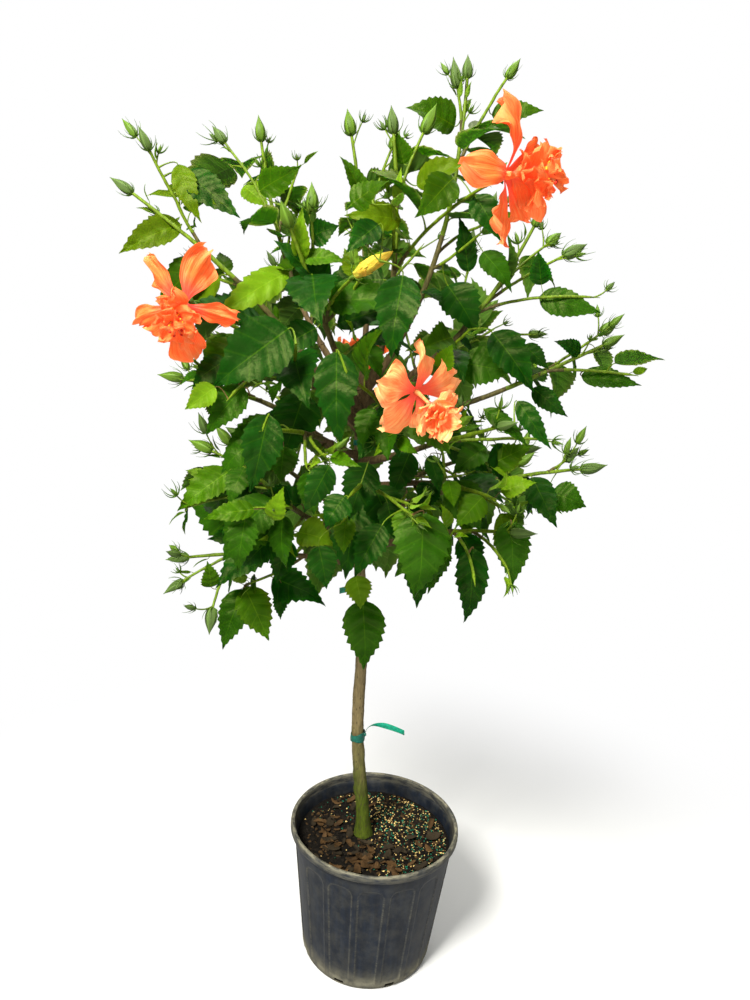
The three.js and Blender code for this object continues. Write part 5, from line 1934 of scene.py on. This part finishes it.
def add_stamens(shape, column, scale, chance):
    """The column with its threads, pollen-tipped, and the stigma pads at its end."""
    radii = scale * np.array([3.8, 3.2, 2.7, 2.4, 2.2, 2.0, 1.8, 1.5, 0.9])
    add_bar(shape, column.points(8), radii, 10, 0, 0.2)
    ball = pebble()[0] * scale
    for k in range(34):
        share = chance.uniform(0.62, 0.98)
        foot, way = column.at(share), column.way(share)
        out = unit(square_to(way, LEAF["turn"] * k) + way * chance.uniform(0.2, 0.9))
        tip = foot + out * scale * chance.uniform(8, 15)
        add_bar(shape, [foot, mix(foot, tip, 0.5) + way * 0.8, tip], [0.45, 0.35, 0.3], 4, 0, 0.4)
        add_pebble(shape, ball * 1.4 * point((1, 1, 0.8)) + tip, 1, chance.random())
    for k in range(5):
        way = column.way(1)
        out = unit(square_to(way, 72 * k) * 0.8 + way)
        tip = column.end + out * scale * 12
        add_bar(shape, [column.end, mix(column.end, tip, 0.6) + way, tip], [0.7, 0.6, 0.5], 5, 0, 0.4)
        add_pebble(shape, ball * 1.9 + tip, 2, 0.3)


# How each bloom hangs: how far it nods from the end of its shoot, which way its column leans, how far the
# column is drawn out beyond the solids' one, the share of it that is bare below the tuft, how far the ring
# of petals is turned, in degrees, how long and broad a petal is, and how far back each of the five is bent.
HABITS = {
    "front_left": {"nod": (-14, 0, 2), "lean": (0.2, 0, -0.45), "draw_out": 1.1, "bare": 0.1, "turn": 8,
                   "long": 0.94, "breadth": 1.0, "back": (0, 0, 0, 0, 0)},
    "top_centre": {"nod": (0, 0, 2), "lean": (0, 0, 0.1), "draw_out": 1.0, "bare": 0.1, "turn": 54,
                   "long": 0.86, "breadth": 1.1, "back": (-0.4, -0.8, -0.4, 0.25, 0.45)},
    "front_middle": {"nod": (-13, 0, 14), "lean": (0.35, 0, -0.45), "draw_out": 1.45, "bare": 0.5,
                     "turn": -36, "long": 0.86, "breadth": 1.35, "back": (-0.4, 0, 0, 0.2, -0.2)},
    "back_middle": {"nod": (0, 0, 0), "lean": (0, 0, -0.3), "draw_out": 1.35, "bare": 0.4, "turn": 0,
                    "long": 1.0, "breadth": 1.1, "back": (0, 0, 0, 0, 0)},
}


def make_blooms(settings):
    """The double blooms, and the calyx that each sits in."""
    chance = np.random.default_rng(7)
    petals, stamens, calyx = Shape(), Shape(), Shape()
    for mass, line in every_line():
        if line.ends != "bloom":
            continue
        bloom = bloom_frame(line)
        habit = HABITS[mass.name]
        facing = bloom["facing"]
        centre = bloom["centre"] + point(habit["nod"])
        bloom.update(habit, lean=point(habit["lean"]), centre=centre)
        add_bloom(petals, stamens, bloom, int(mass.name == "front_middle"), chance)
        add_calyx(calyx, centre - facing * 21, facing, 23, 7.5, chance)
        stalk = Bend(line.bend.place_at(0.86), line.bend.place_at(0.95), centre - facing * 18)
        add_bar(calyx, stalk.points(8), np.linspace(1.8, 2.3, 9), 8, 0, 0.3)
    petals.piece("petals", [
        petal_finish("orange petal", settings.orange, settings.peach, settings.throat),
        petal_finish("light orange petal", settings.pale_orange, settings.pale_peach, settings.throat),
    ], "foliage", crease=80)
    stamens.piece("stamens", [
        stem_finish("column", settings.peach, 0.5),
        grain_finish("pollen", settings.pollen, 900.0, 0.7, 0.3),
        stem_finish("stigma", settings.stigma, 0.6),
    ], "foliage")
    calyx.piece("calyxes", [
        stem_finish("calyx skin", settings.bud, 0.5),
        stem_finish("calyx bract", settings.bract, 0.5),
    ], "foliage")


def add_calyx(shape, foot, way, length, radius, chance):
    """A green cup with five lobes, and narrow bracts below it."""
    for k in range(5):
        out = square_to(way, 72 * k)
        lobe = {"base": foot + out * 1.2, "along": unit(way + out * 0.36), "across": np.cross(way, out),
                "knee": (way * 0.35 + out * 0.36) * length, "cup": -0.5}
        grid, places = petal_grid(lobe, length, radius * 1.7, chance, 9, 5)
        add_sheet(shape, grid, 0.6, (0, 0), places)
        side = square_to(way, 72 * k + 36)
        start = foot + side * 2.5
        bract = Bend(start, start + side * 11, start + side * 13 + way * 9)
        add_bar(shape, bract.points(5), np.linspace(0.8, 0.15, 6), 4, 1, 0.5)


def make_opening_bud(settings):
    """The bud that opens: furled yellow petals in a green calyx."""
    chance = np.random.default_rng(19)
    line = next(line for _, line in every_line() if line.ends == "opening")
    shoot_end = line.bend.place_at(1 - BUD["stalk"] * line.bud / line.bend.length)
    foot = shoot_end + point((2, -6, 3))
    way = unit(point((0.8, -0.1, 0.55)))
    shape = Shape()
    stalk = Bend(shoot_end, foot - way * 9, foot)
    add_bar(shape, stalk.points(7), np.linspace(2.0, 1.7, 8), 8, 1, 0.4)
    shares = np.linspace(0, 1, 15)
    swell = np.interp(shares, (0, 0.2, 0.45, 0.65, 0.85, 1), (0.5, 0.8, 1, 0.88, 0.5, 0.08)) * 7.6
    sides = 20
    winding = (ring_turns(sides) * 3 / FULL_TURN + shares[:, None] * 1.3) % 1
    furled = 0.16 * swell[:, None] * (winding - 0.5) * 2
    add_bar(shape, foot + np.outer(shares, way) * line.bud, swell, sides, 0, 0.4, furled)
    add_calyx(shape, foot, way, 20, 8.5, chance)
    yellow = settings.opening
    furl = petal_finish("furled petal", yellow, shade(yellow, 1.2), shade(yellow, 0.8), glow=0.0)
    shape.piece("opening_bud", [furl, stem_finish("opening calyx", settings.bud, 0.5)], "foliage")


# The ribbons.


# Each tie: its height on the trunk, its width, the way and the length of its tail, how much the tail rises
# at first, and how far each turn of it is tilted.
TIES = {
    "tie_low": {"height": 392, "width": 9.5, "tail": (1, -0.3, 0.3), "length": 68, "rise": 34,
                "tilts": (-1.5, 5.5)},
    "tie_middle": {"height": 646, "width": 8, "tail": (-1, -0.3, -0.05), "length": 24, "rise": 4,
                   "tilts": (1.5,)},
    "tie_high": {"height": 879, "width": 8, "tail": (0.9, -0.25, -0.5), "length": 16, "rise": 2,
                 "tilts": (1.5,)},
}


def ribbon_finish(name, colour):
    """Crinkled, shiny ribbon."""
    finish = Finish(name, colour, 0.36, Specular_IOR_Level=0.4)
    crinkle = finish.noise(finish.where(), 240.0, 3.0)
    finish.colour(finish.tones(crinkle, 0.3, 0.7, colour, 0.7, 1.3))
    finish.bump(crinkle, 0.5, 0.0008)
    return finish.made


def add_ribbon(shape, path, across, widths, finish, thickness=0.5):
    """A flat ribbon along points, with a direction across it and a width at each."""
    side = np.linspace(-0.5, 0.5, 4)
    front = path[:, None] + across[:, None] * (widths[:, None] * side)[..., None]
    places = places_of(np.linspace(0, 1, len(path))[:, None], np.zeros(len(side)), 0)
    add_sheet(shape, front, thickness, (finish, finish), places)


def make_tie(name, tie, settings, finishes):
    """A ribbon wound round the trunk, its knot, and its loose tail."""
    shape = Shape()
    chance = np.random.default_rng(len(name))
    way = unit(point(tie["tail"]))
    level = unit(way * point((1, 1, 0)))
    facing = math.atan2(level[1], level[0])
    width = tie["width"] * settings.width / MM / 9
    for number, tilt in enumerate(tie["tilts"]):
        level_of_turn = tie["height"] + 2.5 * (number - 0.5) * (len(tie["tilts"]) - 1)
        path = []
        for turn in facing + np.linspace(0, FULL_TURN, 49):
            centre, radius = trunk_at(level_of_turn + tilt * math.cos(turn - facing))
            out = point((math.cos(turn), math.sin(turn), 0))
            path.append(centre + out * (radius + 1.3 + 0.55 * number + 0.15 * math.sin(7 * turn)))
        add_ribbon(shape, np.array(path), np.tile(UP, (len(path), 1)), np.full(len(path), width), 0)
    centre, radius = trunk_at(tie["height"])
    knot = centre + level * (radius + 2.2) + UP * tie["tilts"][-1]
    add_pebble(shape, rough_pebble(chance, 0.2) * point((2.6, 2.6, 3.4)) + knot, 0, 0)
    shares = np.linspace(0, 1, 26)
    tail = Bend(knot, knot + level * 2 + UP * tie["rise"], knot + way * tie["length"])
    path = tail.points(25)
    lean = np.cross(way, UP)
    turn = mix(1.1, 0.12, shares) + 0.25 * np.sin(7 * shares)
    across = np.outer(np.cos(turn), UP) + np.outer(np.sin(turn), lean)
    widths = width * np.interp(shares, (0, 0.22, 0.42, 0.7, 1), (0.34, 0.4, 0.8, 1.2, 1.15))
    add_ribbon(shape, path, across, widths, 1, 0.45)
    shape.piece(f"ribbon_{name}", finishes, "tie", [name], crease=60)


# The stage.


def make_floor(settings):
    """A wide plain floor that fades to the white of the backdrop."""
    rings, sides = (0.01, 0.4, 0.9, 1.6, 2.6, 6.0, 30.0), 64
    shape = Shape()
    points = [spot for radius in rings for spot in ring(radius / MM, sides)]
    shape.add(points, [grid_faces(len(rings), sides, wrapped=True), np.arange(sides)[None, :]])
    finish = Finish("pale floor", settings.floor, 0.9, Specular_IOR_Level=0.1)
    seen = finish.node("LightPath").outputs["Is Camera Ray"]
    finish.colour(finish.blend(seen, shade(settings.floor, 0.4), settings.floor))
    away = finish.node("VectorMath", {0: finish.where((1, 1, 0))}, operation="LENGTH").outputs["Value"]
    glow = finish.node("Emission", {"Color": (1, 1, 1, 1), "Strength": 1.0})
    both = finish.node("MixShader", {"Fac": finish.sum("MULTIPLY", seen, finish.rise(away, 0.3, 1.1))})
    finish.tree.links.new(finish.shader.outputs["BSDF"], both.inputs[1])
    finish.tree.links.new(glow.outputs["Emission"], both.inputs[2])
    finish.tree.links.new(both.outputs["Shader"], finish.tree.nodes["Material Output"].inputs["Surface"])
    shape.object("floor", [finish.made])


def make_world():
    """A white backdrop, with a softer light in it for the surfaces that it lights."""
    world = bpy.data.worlds.new("studio")
    bpy.context.scene.world = world
    world.use_nodes = True
    tree = world.node_tree
    tree.nodes.clear()
    kinds = ("LightPath", "Background", "Background", "MixShader")
    ray, seen, felt, both = (tree.nodes.new(f"ShaderNode{kind}") for kind in kinds)
    for light, colour, strength in ((seen, (1, 1, 1, 1), 1.0), (felt, (1, 1, 0.9, 1), 0.06)):
        light.inputs["Color"].default_value = colour
        light.inputs["Strength"].default_value = strength
    end = tree.nodes.new("ShaderNodeOutputWorld")
    tree.links.new(ray.outputs["Is Camera Ray"], both.inputs["Fac"])
    tree.links.new(felt.outputs["Background"], both.inputs[1])
    tree.links.new(seen.outputs["Background"], both.inputs[2])
    tree.links.new(both.outputs["Shader"], end.inputs["Surface"])


LIGHTS = {
    "key": {"place": (-1.1, -1.7, 2.7), "size": 0.8, "power": 165, "colour": (1.0, 0.97, 0.87)},
    "fill": {"place": (0.9, -2.5, 0.8), "size": 1.8, "power": 31, "colour": (1.0, 0.98, 0.92)},
    "top": {"place": (0.3, 0.6, 3.0), "size": 1.6, "power": 52, "colour": (1.0, 0.98, 0.88)},
}


def make_lights():
    """Soft area lights that look at the crown."""
    target = Vector((-0.05, 0, 0.85))
    for name, light in LIGHTS.items():
        data = bpy.data.lights.new(name, "AREA")
        data.size = light["size"]
        data.energy = light["power"]
        data.color = light["colour"]
        made = bpy.data.objects.new(name, data)
        made.location = light["place"]
        made.rotation_euler = (target - made.location).to_track_quat("-Z", "Y").to_euler()
        bpy.context.scene.collection.objects.link(made)


def make_camera(settings):
    """The camera, at the photograph's viewing angle."""
    data = bpy.data.cameras.new("camera")
    data.lens = settings.lens
    camera = bpy.data.objects.new("camera", data)
    looks = Matrix.Rotation(math.pi / 2 - settings.tilt, 4, "X") @ Matrix.Rotation(settings.roll, 4, "Z")
    camera.matrix_world = Matrix.Translation((-0.038, -1.17, 1.0875)) @ looks
    bpy.context.scene.collection.objects.link(camera)
    bpy.context.scene.camera = camera
    bpy.context.scene.view_settings.view_transform = "Standard"


# The add-on: one operator for each piece or group of like pieces.


class PieceOperator:
    """What all the operators share: redo and undo."""

    bl_options = {"REGISTER", "UNDO"}


class HIBISCUS_OT_stage(PieceOperator, bpy.types.Operator):
    """Set out the floor, the lights and the camera"""

    bl_idname = "hibiscus.stage"
    bl_label = "Stage"

    def execute(self, context):
        settings = context.scene.hibiscus_stage
        make_floor(settings)
        make_world()
        make_lights()
        make_camera(settings)
        return {"FINISHED"}


class HIBISCUS_OT_pot(PieceOperator, bpy.types.Operator):
    """Make the pot"""

    bl_idname = "hibiscus.pot"
    bl_label = "Pot"

    def execute(self, context):
        make_pot(context.scene.hibiscus_pot)
        return {"FINISHED"}


class HIBISCUS_OT_soil(PieceOperator, bpy.types.Operator):
    """Fill the pot with soil, grit, feed pellets and dry leaves"""

    bl_idname = "hibiscus.soil"
    bl_label = "Soil"

    def execute(self, context):
        settings, pot = context.scene.hibiscus_soil, context.scene.hibiscus_pot
        make_soil(settings, pot)
        make_soil_cover(settings, pot)
        make_litter(settings, pot)
        return {"FINISHED"}


class HIBISCUS_OT_limbs(PieceOperator, bpy.types.Operator):
    """Make the trunk, the boughs and the twigs"""

    bl_idname = "hibiscus.limbs"
    bl_label = "Limbs"

    def execute(self, context):
        settings = context.scene.hibiscus_bark
        make_trunk(settings)
        make_boughs(settings)
        make_twigs(settings)
        return {"FINISHED"}


class HIBISCUS_OT_leaves(PieceOperator, bpy.types.Operator):
    """Make the leaves"""

    bl_idname = "hibiscus.leaves"
    bl_label = "Leaves"

    def execute(self, context):
        make_leaves(context.scene.hibiscus_leaf)
        return {"FINISHED"}


class HIBISCUS_OT_blooms(PieceOperator, bpy.types.Operator):
    """Make the buds and the blooms"""

    bl_idname = "hibiscus.blooms"
    bl_label = "Buds and blooms"

    def execute(self, context):
        settings = context.scene.hibiscus_bloom
        make_buds(settings)
        make_blooms(settings)
        make_opening_bud(settings)
        return {"FINISHED"}


class HIBISCUS_OT_ties(PieceOperator, bpy.types.Operator):
    """Wind the ribbons round the trunk"""

    bl_idname = "hibiscus.ties"
    bl_label = "Ribbons"

    def execute(self, context):
        settings = context.scene.hibiscus_tie
        # The wound ribbon is the ribbon in painted shade, and the loose one is the ribbon in painted light
        # let through it.
        finishes = [
            ribbon_finish("wound ribbon", settings.wound), ribbon_finish("loose ribbon", settings.ribbon),
        ]
        for name, tie in TIES.items():
            make_tie(name, tie, settings, finishes)
        return {"FINISHED"}


class HIBISCUS_PT_panel(bpy.types.Panel):
    """The pieces and their settings"""

    bl_idname = "HIBISCUS_PT_panel"
    bl_label = "Potted hibiscus"
    bl_space_type = "VIEW_3D"
    bl_region_type = "UI"
    bl_category = "Hibiscus"

    def draw(self, context):
        for operator, name, _ in PIECES:
            box = self.layout.box()
            box.operator(operator.bl_idname)
            settings = getattr(context.scene, name)
            for setting in settings.__annotations__:
                box.prop(settings, setting)


# Each operator, with the name and the class of its settings.
PIECES = (
    (HIBISCUS_OT_stage, "hibiscus_stage", StageSettings),
    (HIBISCUS_OT_pot, "hibiscus_pot", PotSettings),
    (HIBISCUS_OT_soil, "hibiscus_soil", SoilSettings),
    (HIBISCUS_OT_limbs, "hibiscus_bark", BarkSettings),
    (HIBISCUS_OT_leaves, "hibiscus_leaf", LeafSettings),
    (HIBISCUS_OT_blooms, "hibiscus_bloom", BloomSettings),
    (HIBISCUS_OT_ties, "hibiscus_tie", TieSettings),
)


def register():
    for operator, name, group in PIECES:
        bpy.utils.register_class(group)
        setattr(bpy.types.Scene, name, PointerProperty(type=group))
        bpy.utils.register_class(operator)
    bpy.utils.register_class(HIBISCUS_PT_panel)


def unregister():
    bpy.utils.unregister_class(HIBISCUS_PT_panel)
    for operator, name, group in reversed(PIECES):
        bpy.utils.unregister_class(operator)
        delattr(bpy.types.Scene, name)
        bpy.utils.unregister_class(group)


def main():
    register()
    for operator, *_ in PIECES:
        group, name = operator.bl_idname.split(".")
        getattr(getattr(bpy.ops, group), name)()


if __name__ == "__main__":
    main()
